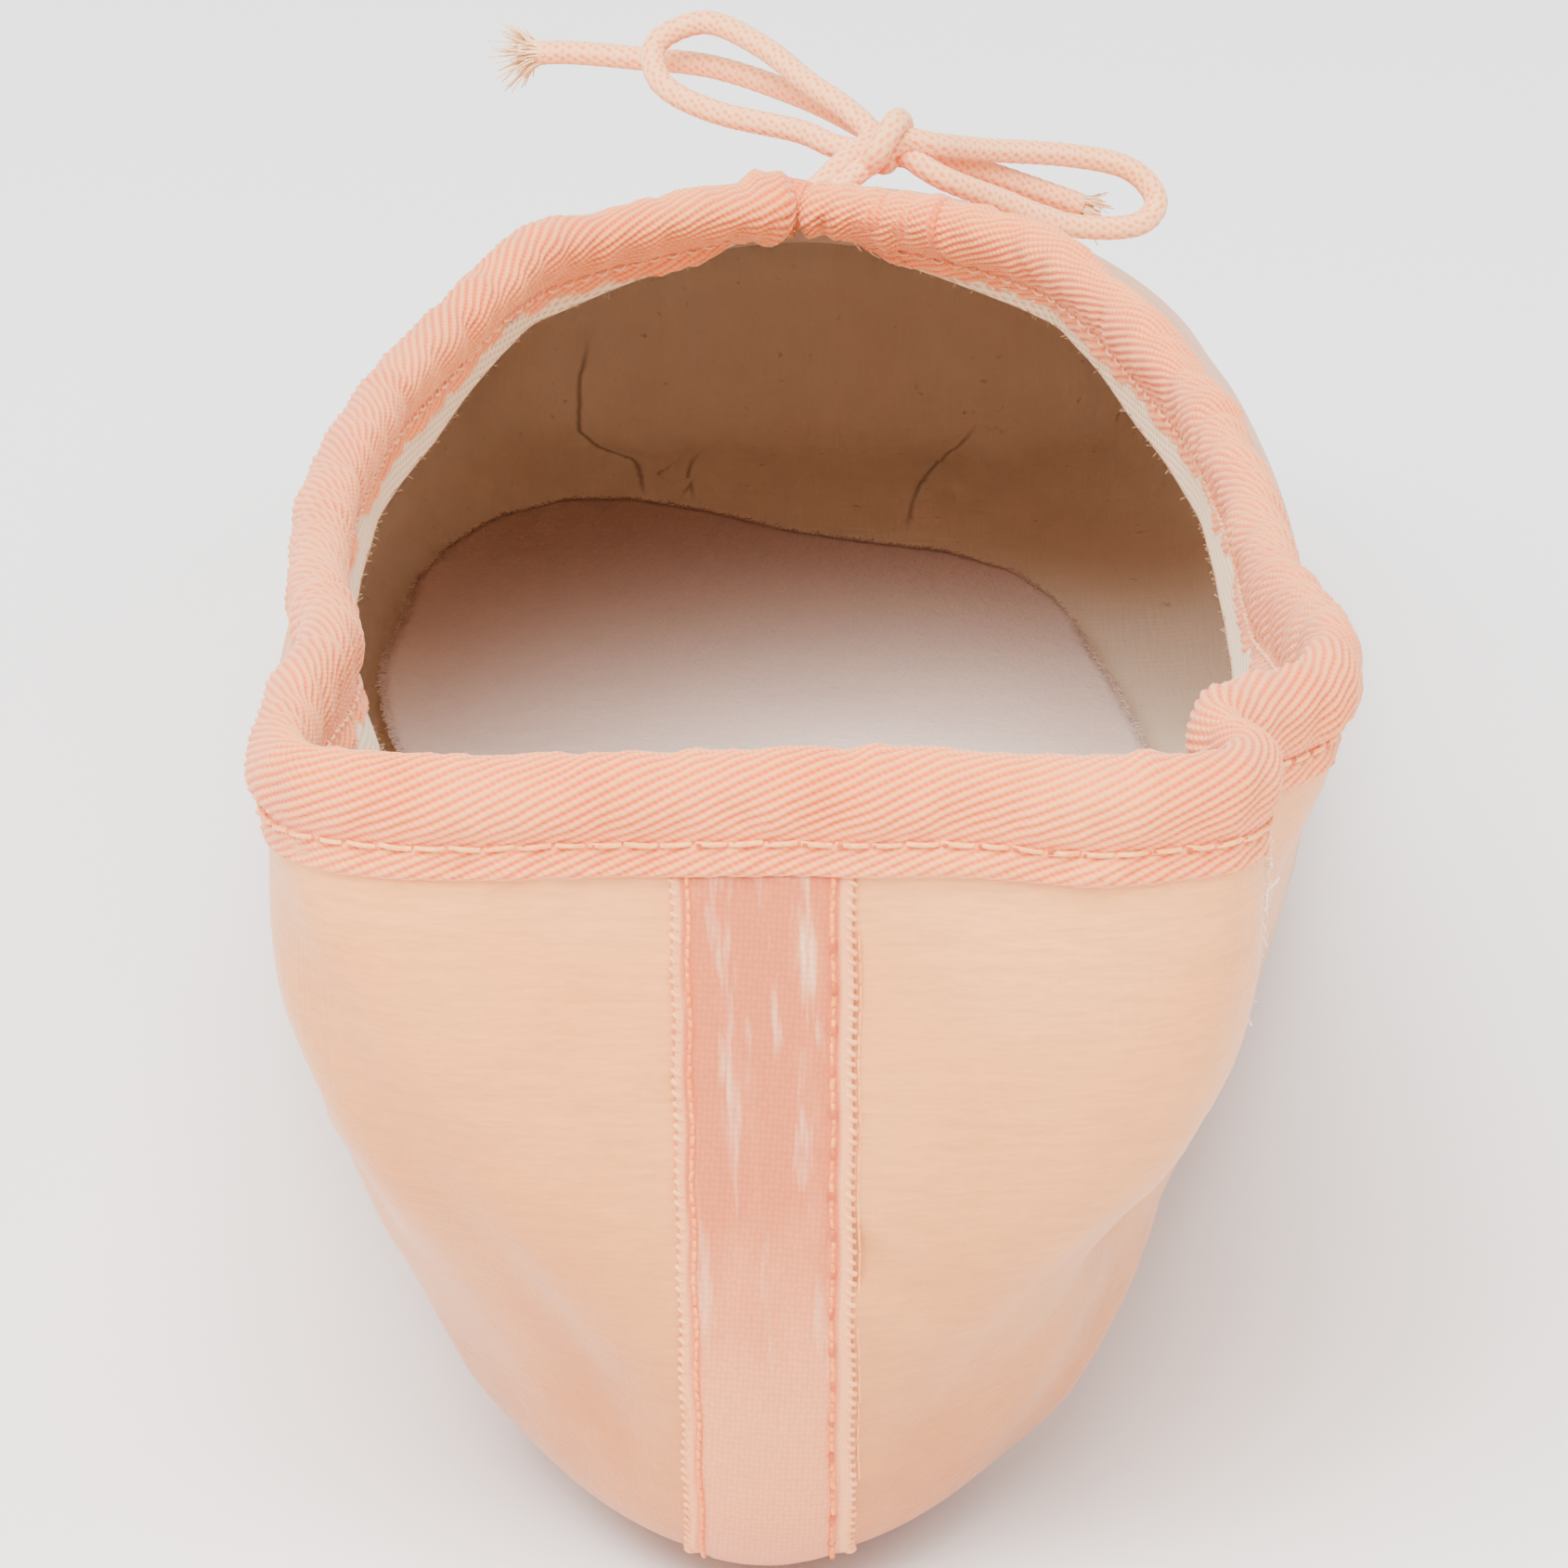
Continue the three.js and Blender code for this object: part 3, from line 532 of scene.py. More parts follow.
def satin_rows(side):
    ring = wall_row(TOE - PLATFORM_ROUNDING, side)
    middle_z = (ring[0, 2] + ring[-1, 2]) / 2
    widest = np.abs(ring[:, 0]).max()
    half_height = (ring[-1, 2] - ring[0, 2]) / 2
    rows = []
    face_x = (widest - PLATFORM_ROUNDING) / widest
    face_z = (half_height - PLATFORM_ROUNDING) / half_height
    for share in np.linspace(0, 1, 10)[:-1]:
        row = ring * [face_x * share, 1, 1]
        row[:, 2] = middle_z + (ring[:, 2] - middle_z) * face_z * share
        row[:, 1] = TOE - MIDDLE
        rows.append(row)
    for turn in np.linspace(0, math.pi / 2, 7)[:-1]:
        inset_by = PLATFORM_ROUNDING * (1 - math.sin(turn))
        row = ring * [(widest - inset_by) / widest, 1, 1]
        row[:, 2] = middle_z + (ring[:, 2] - middle_z) * (half_height - inset_by) / half_height
        row[:, 1] = TOE - PLATFORM_ROUNDING * (1 - math.cos(turn)) - MIDDLE
        rows.append(row)
    rows += [wall_row(place, side) for place in MAIN_PLACES]
    rows = np.array(rows)
    normals = sheet_normals(rows) * side
    normals[np.abs(rows[:, :, 0]) < 1e-6, 0] = 0
    sunk = relief(rows.reshape(-1, 3)).reshape(rows.shape[:2])
    edge = 1 - ease(np.linspace(0, 1, rows.shape[1]), 0.93, 1)
    sunk = sunk * edge[None, :]
    moved = rows - normals * sunk[:, :, None]
    moved[np.abs(rows[:, :, 0]) < 1e-6, 0] = 0
    return moved


SATIN_LIGHT, SATIN_MID, SATIN_DEEP = linear(249, 170, 98), linear(243, 152, 78), linear(178, 94, 28)
satin, tree, shader = new_finish(
    "peach_satin", Sheen_Weight=0.28, Sheen_Roughness=0.35, Sheen_Tint=(1.0, 0.9, 0.82, 1),
    Anisotropic=0.35, Specular_IOR_Level=0.42,
)
spot = add_node(tree, "ShaderNodeTexCoord").outputs["Object"]
drift = patches(tree, spot, 28.0, 3.0, Roughness=0.55)
slub_place = stretched(tree, spot, (140.0, 140.0, 1500.0))
slubs = patches(tree, slub_place, 1.0, 3.0)
warp_place = stretched(tree, spot, (2600.0, 2600.0, 260.0))
warps = patches(tree, warp_place, 1.0, 1.0)
ramp = colours(tree, drift, (0.32, SATIN_MID), (0.68, SATIN_LIGHT))
grain_place = stretched(tree, spot, (700.0, 700.0, 3600.0), Rotation=(0, 0.5, 0))
grain = patches(tree, grain_place, 1.0, 2.0)
woven = figure(tree, "ADD", slubs, grain)
thread_tone = rescale(tree, woven, 0.7, 1.3, 0.87, 1.04)
streak = blend(tree, 1.0, ramp, thread_tone, "MULTIPLY")
# The satin is darker towards the bottom, in soft patches.
seat = add_node(tree, "ShaderNodeSeparateXYZ", Vector=spot)
low = rescale(tree, seat.outputs["Z"], 0.050, 0.002, 0.0, 1.6)
tone_patches = patches(tree, spot, 160.0, 5.0, Roughness=0.7)
patchy = rescale(tree, tone_patches, 0.0, 1.0, 0.3, 0.65)
darker_low_down = figure(tree, "MULTIPLY", low, patchy)
# Painted shade: the colour darkens in the troughs of the softer folds.
trough = add_node(tree, "ShaderNodeAttribute", {"attribute_name": "sunk"})
shaded = figure(tree, "MULTIPLY_ADD", trough.outputs["Fac"], 0.12, darker_low_down, clamp=True)
painted_light_layer = blend(tree, shaded, streak, SATIN_DEEP)
tree.links.new(painted_light_layer, shader.inputs["Base Color"])
gloss = rescale(tree, slubs, 0.0, 1.0, 0.40, 0.54)
tree.links.new(gloss, shader.inputs["Roughness"])
both = figure(tree, "ADD", slubs, warps)
both = figure(tree, "ADD", both, grain)
cloth = add_node(tree, "ShaderNodeBump", Strength=0.5, Distance=0.00014, Height=both)
ripple = patches(tree, spot, 70.0, 2.0, Distortion=0.6)
soft = add_node(tree, "ShaderNodeBump", Strength=0.5, Distance=0.0014, Height=ripple)
tree.links.new(cloth.outputs["Normal"], soft.inputs["Normal"])
tree.links.new(soft.outputs["Normal"], shader.inputs["Normal"])

satin_cover = two_sides("satin_cover", satin_rows, satin)
mark_depth(satin_cover, "sunk", [fold for fold in SATIN_FOLDS if 0 < fold[0] < 2])
thicken(satin_cover, SATIN_THICKNESS)
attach(satin_cover, "root")
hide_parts("upper")


# ---- upper: the canvas lining ----
# Unbleached canvas glued inside the satin and its stiffening. Towards the collar it turns browner
# and darker, partly glue-yellowed canvas and partly painted shade. It is smooth but for a few
# creases low in the box, each with a fine line of painted shade.

QUARTER_WALL, BOX_WALL, PLATFORM_WALL = 2.0, 3.0, 3.5
LINING_THICKNESS = 0.55


def full_wall(place, profile):
    forward = float(ease(place, 150, 175))
    above = ease(profile[:, 1] - profile[0, 1], 1, 10)
    return QUARTER_WALL + (BOX_WALL - QUARTER_WALL) * forward * above


def inner_toe_row(side, turn, share):
    """The lining turns round softly inside the toe, and closes it with a flat end."""
    place = TOE - PLATFORM_WALL - INNER_TOE * (1 - math.cos(turn))
    row = wall_row(place, side, full_wall)
    middle_z, half_height = (row[0, 2] + row[-1, 2]) / 2, (row[-1, 2] - row[0, 2]) / 2
    widest, drawn_in = np.abs(row[:, 0]).max(), INNER_TOE * (1 - math.sin(turn))
    row = row * [share * (widest - drawn_in) / widest, 1, 1]
    row[:, 2] = middle_z + (row[:, 2] - middle_z) * share * (half_height - drawn_in) / half_height
    return row


# Creases in the lining: depth (a ridge is below 0), width, and its line.
LINING_CREASES = [
    (1.1, 0.9, [
        (-18, 112, 17), (-19, 111, 13), (-19, 108, 10), (-17, 106, 8.7), (-14, 104, 8), (-13, 97, 7.3),
    ]),
    (-0.5, 2.4, [(-15.5, 111, 16), (-16, 109, 11), (-13, 107, 9)]),
    (0.9, 0.9, [(-8, 106, 8.6), (-9.3, 104, 8), (-9.4, 101, 7.6), (-9, 96, 7.2)]),
    (1.1, 0.9, [(15, 109, 11), (13, 106.5, 9), (10.6, 102, 7.8), (9.4, 96, 7.2), (9, 90, 6.7)]),
    (-0.5, 2.2, [(16, 106, 8.6), (13, 102, 7.8), (11.5, 97, 7.2)]),
]


INNER_TOE = 6.5
LINING_PLACES = np.concatenate([
    np.linspace(TOE - PLATFORM_WALL - INNER_TOE, 190, 34), np.linspace(190, 143, 24)[1:],
    MAIN_PLACES[VAMP_STEPS:],
])


def lining_rows(side):
    rows = []
    for share in np.linspace(0, 1, 16)[:-1]:
        rows.append(inner_toe_row(side, 0.0, share))
    for turn in np.linspace(0, math.pi / 2, 14)[:-1]:
        rows.append(inner_toe_row(side, turn, 1.0))
    rows += [wall_row(place, side, full_wall) for place in LINING_PLACES]
    rows = np.array(rows)
    normals = sheet_normals(rows) * side
    normals[np.abs(rows[:, :, 0]) < 1e-6, 0] = 0
    x, run = rows[:, :, 0], rows[:, :, 1] + MIDDLE
    outside = np.array([wall_row(place, side) for place in LINING_PLACES])
    sunk = np.zeros(rows.shape[:2])
    sunk[-len(outside):] = near_strokes(outside.reshape(-1, 3), SATIN_FOLDS).reshape(outside.shape[:2])
    edge = 1 - ease(np.linspace(0, 1, rows.shape[1]), 0.93, 1)
    raised = near_strokes(rows.reshape(-1, 3), LINING_CREASES).reshape(rows.shape[:2])
    slack = np.array([
        noise.noise(Vector((point[0] * 0.055, point[1] * 0.075, point[2] * 0.06)))
        for point in rows.reshape(-1, 3)
    ]).reshape(rows.shape[:2])
    raised += 0.35 * slack * ease(run, 60, 120)
    moved = rows - normals * (sunk * edge[None, :] + raised)[:, :, None]
    moved[np.abs(x) < 1e-6, 0] = 0
    return moved


LINING_LIGHT, LINING_TAN, LINING_SPECK_AND_CREASE_SHADE = linear(249, 231, 208), linear(235, 207, 178), linear(96, 58, 34)
LINING_GLUE_BROWN_AND_SHADE = linear(140, 92, 62)
canvas, tree, shader = new_finish(
    "lining_canvas", Roughness=0.92, Specular_IOR_Level=0.2, Sheen_Weight=0.12, Sheen_Roughness=0.6,
)
spot = add_node(tree, "ShaderNodeTexCoord").outputs["Object"]
seat = add_node(tree, "ShaderNodeSeparateXYZ", Vector=spot)
drift = patches(tree, spot, 34.0, 4.0, Roughness=0.6)
ramp = colours(tree, drift, (0.25, LINING_TAN), (0.8, LINING_LIGHT))
specks = patches(tree, spot, 900.0, 2.0)
weave_wander = patches(tree, spot, 260.0, 2.0)
few = rescale(tree, specks, 0.70, 0.80, 0.0, 0.4)
specked = blend(tree, few, ramp, LINING_SPECK_AND_CREASE_SHADE)
# Towards the collar the canvas turns browner and darker: partly glue-yellowed canvas, partly painted shade.
upwards = rescale(tree, seat.outputs["Z"], 0.022, 0.048, 0.0, 0.85)
brown_with_painted_shade = blend(tree, upwards, specked, LINING_GLUE_BROWN_AND_SHADE)
# Painted shade: a fine dark line along each crease; the specks use the same dark colour.
crease_side = add_node(tree, "ShaderNodeAttribute", {"attribute_name": "crease_side"})
crease_near = add_node(tree, "ShaderNodeAttribute", {"attribute_name": "crease_near"})
ragged = figure(tree, "MULTIPLY_ADD", weave_wander, 0.9, crease_side.outputs["Fac"])
off_line = figure(tree, "ABSOLUTE", ragged)
fine_line = rescale(tree, off_line, 0.02, 0.34, 0.6, 0.0)
scuffs_and_crease_shade = figure(tree, "MULTIPLY", fine_line, crease_near.outputs["Fac"], clamp=True)
crease_shaded = blend(tree, scuffs_and_crease_shade, brown_with_painted_shade, LINING_SPECK_AND_CREASE_SHADE)
tree.links.new(crease_shaded, shader.inputs["Base Color"])
yarns = []
for stretch in ((2400.0, 300.0, 300.0), (300.0, 2400.0, 300.0)):
    laid = stretched(tree, spot, stretch)
    yarns.append(patches(tree, laid, 1.0, 1.0))
weave = figure(tree, "ADD", *yarns)
sunk_weave = figure(tree, "MULTIPLY_ADD", scuffs_and_crease_shade, -1.3, weave)
emboss(tree, shader, 0.4, 0.00025, sunk_weave)

# Each point keeps how far beside the nearest crease it lies and how near that is, so that the
# colour can paint a fine line of shade. Climb grows forwards and upwards along the creases.
CREASES_BELOW, CREASES_FROM, FAR_ASIDE = 24, 96, 9.0


def climb_of(points):
    return points[:, 2] + 0.8 * (points[:, 1] - CREASES_FROM)


lining = two_sides("canvas_lining", lining_rows, canvas, outward=False)
lining_spots = np.array([point.co[:] for point in lining.data.vertices]) / MM
climb = climb_of(lining_spots)
crease_side, crease_near = np.full(len(climb), FAR_ASIDE), np.zeros(len(climb))
for depth, _, line in LINING_CREASES:
    if depth < 0:
        continue
    line = np.array(line)[::-1]
    climbed = climb_of(line)
    side = lining_spots[:, 0] - np.interp(climb, climbed, line[:, 0])
    begins = ease(climb, climbed[0] - 1, climbed[0] + 3)
    ends = ease(climb, climbed[-1] - 4, climbed[-1])
    near = np.exp(-((side / 2.0) ** 2)) * begins * (1 - ends)
    near = near * (lining_spots[:, 2] < CREASES_BELOW)
    crease_side = np.where(near > crease_near, side, crease_side)
    crease_near = np.maximum(near, crease_near)
lining.data.attributes.new("crease_side", "FLOAT", "POINT").data.foreach_set("value", crease_side)
lining.data.attributes.new("crease_near", "FLOAT", "POINT").data.foreach_set("value", crease_near)
thicken(lining, LINING_THICKNESS)
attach(lining, "root")


# ---- insole board and felt sock ----
# A bent board glued over the turned-in margins of the upper, and on it a thin felt sock. It
# slants to the left towards the toe, and its fuzzy cut edge stands off the lining.

GAP = 0.3
BOARD_THICKNESS = 1.9
FELT_THICKNESS = 1.1
BOARD_LIFT = 1.25

# run, left edge, right edge
SOCK_EDGES = np.array([
    [13, -11.8, 11.8], [30, -12.6, 12.4], [55, -16, 15.6], [80, -21, 20.6], [110, -26.4, 26],
    [138, -29.4, 27.9], [150, -31.8, 26.8], [162, -32.9, 24.9], [178, -31.7, 22.2], [190, -30.7, 22],
    [204, -30.0, 22],
])
# Share of the width from the left, and how far forward and back the sock reaches there.
SOCK_FRONT = np.array([
    [0, 184], [0.04, 193], [0.1, 199.2], [0.2, 203.3], [0.3, 203.4], [0.42, 201], [0.55, 197],
    [0.66, 194.8], [0.8, 192.6], [0.9, 188.6], [0.96, 183.5], [1, 176],
])
SOCK_BACK = np.array([
    [0, 30], [0.06, 24], [0.15, 19], [0.3, 15.2], [0.5, 14], [0.7, 15.2], [0.85, 19], [0.94, 24], [1, 30],
])


def floor_height(run, x):
    line = half_section(max(run, HEEL_AXIS), FLOOR_WEIGHTS)
    return float(np.interp(abs(x), line[:, 0], line[:, 1]))


FLOOR_WEIGHTS = rise_weights(np.linspace(0, 0.55, 24))


def pad_faces(rows, columns):
    """The faces of a closed pad, its lower grid first, and the points round its edge."""
    count = rows * columns
    faces = grid_faces(rows, columns, 0, flip=True) + grid_faces(rows, columns, count)
    ring = (
        list(range(columns))
        + [(i + 1) * columns - 1 for i in range(1, rows)]
        + [count - 1 - j for j in range(1, columns)]
        + [i * columns for i in range(rows - 2, 0, -1)]
    )
    for a, b in zip(ring, ring[1:] + ring[:1]):
        faces.append([a, b, b + count, a + count])
    return faces, ring


def sock_layer(name, finish, margin, bottom, top, edge_wave):
    """A closed pad on the floor of the shoe, its edge drawn in by a margin."""
    across_steps, along_steps = 57, 150
    shares = np.linspace(0, 1, across_steps)
    rows_low, rows_top = [], []
    for i, forward in enumerate(np.linspace(0, 1, along_steps)):
        low_row, top_row = [], []
        for share in shares:
            front = np.interp(share, SOCK_FRONT[:, 0], SOCK_FRONT[:, 1]) - margin
            rear = np.interp(share, SOCK_BACK[:, 0], SOCK_BACK[:, 1]) + margin
            run = rear + (front - rear) * forward
            left = through(SOCK_EDGES[:, 0], SOCK_EDGES[:, 1], run) + margin
            right = through(SOCK_EDGES[:, 0], SOCK_EDGES[:, 2], run) - margin
            wobble = edge_wave * noise.noise(Vector((run * 0.35, 3.0 * share, 5)))
            x = left + (right - left) * share + wobble * (2 * share - 1)
            bottom_z = float(half_section(max(run, HEEL_AXIS), FLOOR_WEIGHTS[:1])[0, 1])
            lift = BOARD_LIFT * (floor_height(run, x) - bottom_z)
            base = bottom_z + QUARTER_WALL + GAP + lift
            edge = min(share, 1 - share, forward * 3, (1 - forward) * 3)
            curl = 0.35 * math.exp(-edge / 0.03) if edge_wave else 0
            round_off = 0.35 * math.exp(-edge / 0.006)
            low_row.append((x, run - MIDDLE, base + bottom + curl))
            top_row.append((x, run - MIDDLE, base + top + curl - round_off))
        rows_low.append(low_row)
        rows_top.append(top_row)
    low, high = np.array(rows_low).reshape(-1, 3), np.array(rows_top).reshape(-1, 3)
    faces, ring = pad_faces(along_steps, across_steps)
    return weld(name, np.vstack([low, high]), faces, finish), high[ring]


board_finish, tree, shader = new_finish("insole_board", Roughness=0.9)
spot = add_node(tree, "ShaderNodeTexCoord").outputs["Object"]
fibres = patches(tree, spot, 300.0, 4.0)
ramp = colours(tree, fibres, (0.0, linear(128, 92, 66)), (1.0, linear(168, 128, 96)))
tree.links.new(ramp, shader.inputs["Base Color"])

insole_board, _ = sock_layer("insole_board", board_finish, 1.8, 0.0, BOARD_THICKNESS, 0.0)
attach(insole_board, "root")
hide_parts("insole")

FELT_LIGHT, FELT_DARK, FELT_FAR_SHADE = linear(252, 234, 222), linear(230, 206, 192), linear(178, 130, 102)
felt, tree, shader = new_finish(
    "sock_felt", Roughness=1.0, Specular_IOR_Level=0.1, Sheen_Weight=0.35, Sheen_Roughness=0.8,
)
spot = add_node(tree, "ShaderNodeTexCoord").outputs["Object"]
broad = patches(tree, spot, 45.0, 3.0)
grain = patches(tree, spot, 900.0, 4.0, Roughness=0.7)
mixed = figure(tree, "MULTIPLY_ADD", grain, 0.55, broad)
ramp = colours(tree, mixed, (0.52, FELT_DARK), (0.98, FELT_LIGHT))
# Painted shade: the felt darkens towards the toe, deep in the shoe.
seat = add_node(tree, "ShaderNodeSeparateXYZ", Vector=spot)
inwards = rescale(tree, seat.outputs["Y"], -0.01, 0.078, 0.0, 1.0)
brown_with_painted_shade = blend(tree, inwards, ramp, FELT_FAR_SHADE)
tree.links.new(brown_with_painted_shade, shader.inputs["Base Color"])
emboss(tree, shader, 0.8, 0.0006, grain)

felt_sock, felt_edge = sock_layer(
    "felt_sock", felt, 0.0, BOARD_THICKNESS + 0.05, BOARD_THICKNESS + FELT_THICKNESS, 0.35,
)
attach(felt_sock, "root")


# ---- binding ----
# Cotton twill tape folded over the collar and stitched through, so that it makes a soft roll
# that the drawstring runs in. Both ends meet, gathered, at the middle of the throat.

TWILL_ANGLE = math.radians(25)
TWILL_PITCH = 0.62
TWILL_HEIGHT = 0.21
STEPS_PER_RIB = 5
TAPE_COUNT = 54
BEAD_LENGTH = 0.44 * MM
BINDING_MOUTH_RIGHT, BINDING_MOUTH_LEFT = THROAT - 0.26, THROAT - 0.02

# Across the tape from its outer lower edge, over the collar, to its inner lower edge:
# outwards from the middle of the wall, and above the collar's edge.
TAPE_LINE = np.array([
    [1.12, -5.15], [1.45, -5.3], [1.75, -5.1], [1.82, -4.6], [1.66, -4.25], [1.78, -3.8],
    [1.5, -3.3], [1.46, -3.0],
    [1.78, -2.5], [2.12, -1.7], [2.22, -0.6], [2.08, 0.5], [1.62, 1.5], [0.9, 2.2], [0, 2.42],
    [-0.85, 2.15], [-1.4, 1.45], [-1.72, 0.5], [-1.78, -0.6], [-1.66, -1.7], [-1.5, -2.5], [-1.44, -2.95],
    [-1.5, -3.3], [-1.72, -3.8], [-1.95, -4.6], [-2.0, -5.3], [-1.65, -5.6], [-1.2, -5.4],
])
SLOT_LINE = np.array([
    [-1.08, -4.2], [-1.06, -1.5], [-1.0, 0.3], [0, 0.9], [1.0, 0.3], [1.06, -1.5], [1.08, -4.2],
])
OUTER_STITCH, INNER_STITCH = (1.62, -3.12), (-1.6, -3.15)


def smooth_line(points, count):
    """A curve through the points, evenly stepped along its length."""
    points = np.asarray(points, float)
    padded = np.vstack([2 * points[0] - points[1], points, 2 * points[-1] - points[-2]])
    fine = []
    for i in range(len(points) - 1):
        a, b, c, d = padded[i:i + 4]
        for t in np.linspace(0, 1, 24, endpoint=False):
            fine.append(0.5 * (
                2 * b + (c - a) * t + (2 * a - 5 * b + 4 * c - d) * t * t + (3 * b - a - 3 * c + d) * t ** 3
            ))
    fine = np.vstack([fine, points[-1:]])
    walked = np.concatenate([[0], np.cumsum(np.linalg.norm(np.diff(fine, axis=0), axis=1))])
    even = np.linspace(0, walked[-1], count)
    return np.column_stack([np.interp(even, walked, fine[:, k]) for k in range(fine.shape[1])]), even


def roof_height(run, x):
    line = half_section(run, SIDE_WEIGHTS)[::-1]
    ahead = np.nonzero(line[:, 0] >= x)[0]
    if len(ahead) == 0 or ahead[0] == 0:
        return line[0, 1]
    k = ahead[0]
    (from_x, from_z), (to_x, to_z) = line[k - 1], line[k]
    return from_z + (to_z - from_z) * (x - from_x) / (to_x - from_x)


def collar_side(side, mouth):
    places = np.concatenate([
        mouth - (mouth - HEEL_AXIS) * np.linspace(0, 1, 150) ** 1.6,
        HEEL_AXIS * (1 - np.linspace(0, 1, 61)[1:]),
    ])
    edge, out = [], []
    for place in places:
        row = wall_row(place, side)
        inner = wall_row(place, side, QUARTER_WALL)[-1]
        away, below = row[-1] - inner, row[-11] - row[-1]
        normal = None
        if place > HEEL_AXIS and abs(row[-1, 0]) < 20:
            x, z = half_section(place, SIDE_WEIGHTS)[-1]
            ahead, aside = roof_height(place + 2.5, x), roof_height(place + 2.5, x + 2.5)
            normal = np.array([side * (ahead - aside) / 2.5, (z - ahead) / 2.5, 1])
        edge.append(row[-1])
        out.append((normal, below, away))
    return edge, out


right_edge, right_out = collar_side(1, BINDING_MOUTH_RIGHT)
left_edge, left_out = collar_side(-1, BINDING_MOUTH_LEFT)
collar = np.array(right_edge + left_edge[:-1][::-1])
facing = right_out + left_out[:-1][::-1]
along = np.gradient(collar, axis=0)
along /= np.linalg.norm(along, axis=1, keepdims=True)
outwards = []
for (normal, below, away), ahead in zip(facing, along):
    way = normal if normal is not None else np.cross(below, ahead)
    way = way - ahead * (way @ ahead)
    way = way / np.linalg.norm(way)
    outwards.append(way if way @ away > 0 else -way)
outwards = np.array(outwards)

walked = np.concatenate([[0], np.cumsum(np.linalg.norm(np.diff(collar, axis=0), axis=1))])
COLLAR_LENGTH = walked[-1]
collar_steps = np.arange(0, COLLAR_LENGTH, 0.25)


def evenly(values):
    return np.column_stack([np.interp(collar_steps, walked, values[:, k]) for k in range(3)])


def softened(values, reach):
    kernel = np.hanning(2 * reach + 3)[1:-1]
    padded = np.vstack([np.repeat(values[:1], reach, 0), values, np.repeat(values[-1:], reach, 0)])
    return np.column_stack([np.convolve(padded[:, k], kernel / kernel.sum(), "valid") for k in range(3)])


collar_line = softened(evenly(collar), 6)
collar_along = np.gradient(collar_line, axis=0)
collar_along /= np.linalg.norm(collar_along, axis=1, keepdims=True)
collar_out = softened(evenly(outwards), 10)
collar_out -= collar_along * np.sum(collar_out * collar_along, axis=1, keepdims=True)
collar_out /= np.linalg.norm(collar_out, axis=1, keepdims=True)
collar_up = np.cross(collar_along, collar_out)
COLLAR_WAVE = np.array([0.55 * noise.noise(Vector((walk / 10.0, 0.0, 21.0))) for walk in collar_steps])
COLLAR_WAVE *= ease(np.minimum(collar_steps, COLLAR_LENGTH - collar_steps), 6, 26)


def on_collar(walk, across, rise):
    """Points beside the collar's edge, at distances along it from the throat's right side."""
    walk = np.clip(walk, 0, COLLAR_LENGTH - 0.3)
    line, out, up = (
        np.column_stack([np.interp(walk, collar_steps, values[:, k]) for k in range(3)])
        for values in (collar_line, collar_out, collar_up)
    )
    rise = np.asarray(rise) + np.interp(walk, collar_steps, COLLAR_WAVE)
    return line + out * (np.asarray(across) - QUARTER_WALL / 2)[:, None] + up * rise[:, None], out, up


def tube_faces(rings, sides):
    """The faces of a tube of rings, closed at both ends."""
    faces = []
    for i in range(rings - 1):
        for j in range(sides):
            k = (j + 1) % sides
            faces.append([i * sides + j, i * sides + k, (i + 1) * sides + k, (i + 1) * sides + j])
    faces.append(list(range(sides))[::-1])
    faces.append([(rings - 1) * sides + j for j in range(sides)])
    return faces


def binding_mesh():
    tape, reach = smooth_line(TAPE_LINE, TAPE_COUNT)
    slot, _ = smooth_line(SLOT_LINE, 8)
    shape = np.vstack([tape, slot])
    reach = np.concatenate([reach, np.linspace(reach[-1], 0, 10)[1:-1]])
    step = TWILL_PITCH / math.sin(TWILL_ANGLE) / STEPS_PER_RIB
    lean = 1 / math.tan(TWILL_ANGLE)
    starts = np.arange(0, COLLAR_LENGTH + reach.max() * lean + step, step)
    tangent = np.gradient(shape[:TAPE_COUNT], axis=0)
    tangent /= np.linalg.norm(tangent, axis=1, keepdims=True)
    face_out = np.column_stack([tangent[:, 1], -tangent[:, 0]])
    points, places = [], []
    for i, start in enumerate(starts):
        walk = np.clip(start - reach * lean, 0, COLLAR_LENGTH)
        rib = (0.5 + 0.5 * math.cos(2 * math.pi * i / STEPS_PER_RIB)) ** 0.8
        puff = np.array([
            noise.noise(Vector((w / 8.0, r / 7.0, 2.0))) * 0.5
            + noise.noise(Vector((w / 1.9, r / 3.2, 7.0))) * 0.42
            for w, r in zip(walk[:TAPE_COUNT], reach[:TAPE_COUNT])
        ])
        end = np.minimum(walk[:TAPE_COUNT], COLLAR_LENGTH - walk[:TAPE_COUNT])
        gather = 0.34 * np.exp(-end / 5.0) * np.sin(walk[:TAPE_COUNT] * 2.9 + reach[:TAPE_COUNT] * 0.5)
        from_end = COLLAR_LENGTH - walk[:TAPE_COUNT]
        gather += 0.7 * np.exp(-((from_end - 2.2) / 1.5) ** 2) * (tape[:, 1] > -3)
        pinch = np.clip(np.abs(tape[:, 1] + 3.05) / 1.3, 0.25, 1) * np.where(tape[:, 1] < -5.0, 0.3, 1)
        moved = shape.copy()
        moved[:TAPE_COUNT] += face_out * ((puff + gather + TWILL_HEIGHT * (rib - 0.5)) * pinch)[:, None]
        place, _, _ = on_collar(walk, moved[:, 0], moved[:, 1])
        points.append(place)
        places.append(np.column_stack([walk * MM, reach * MM, np.full(len(shape), rib)]))
    return np.vstack(points), tube_faces(len(points), len(shape)), np.vstack(places)


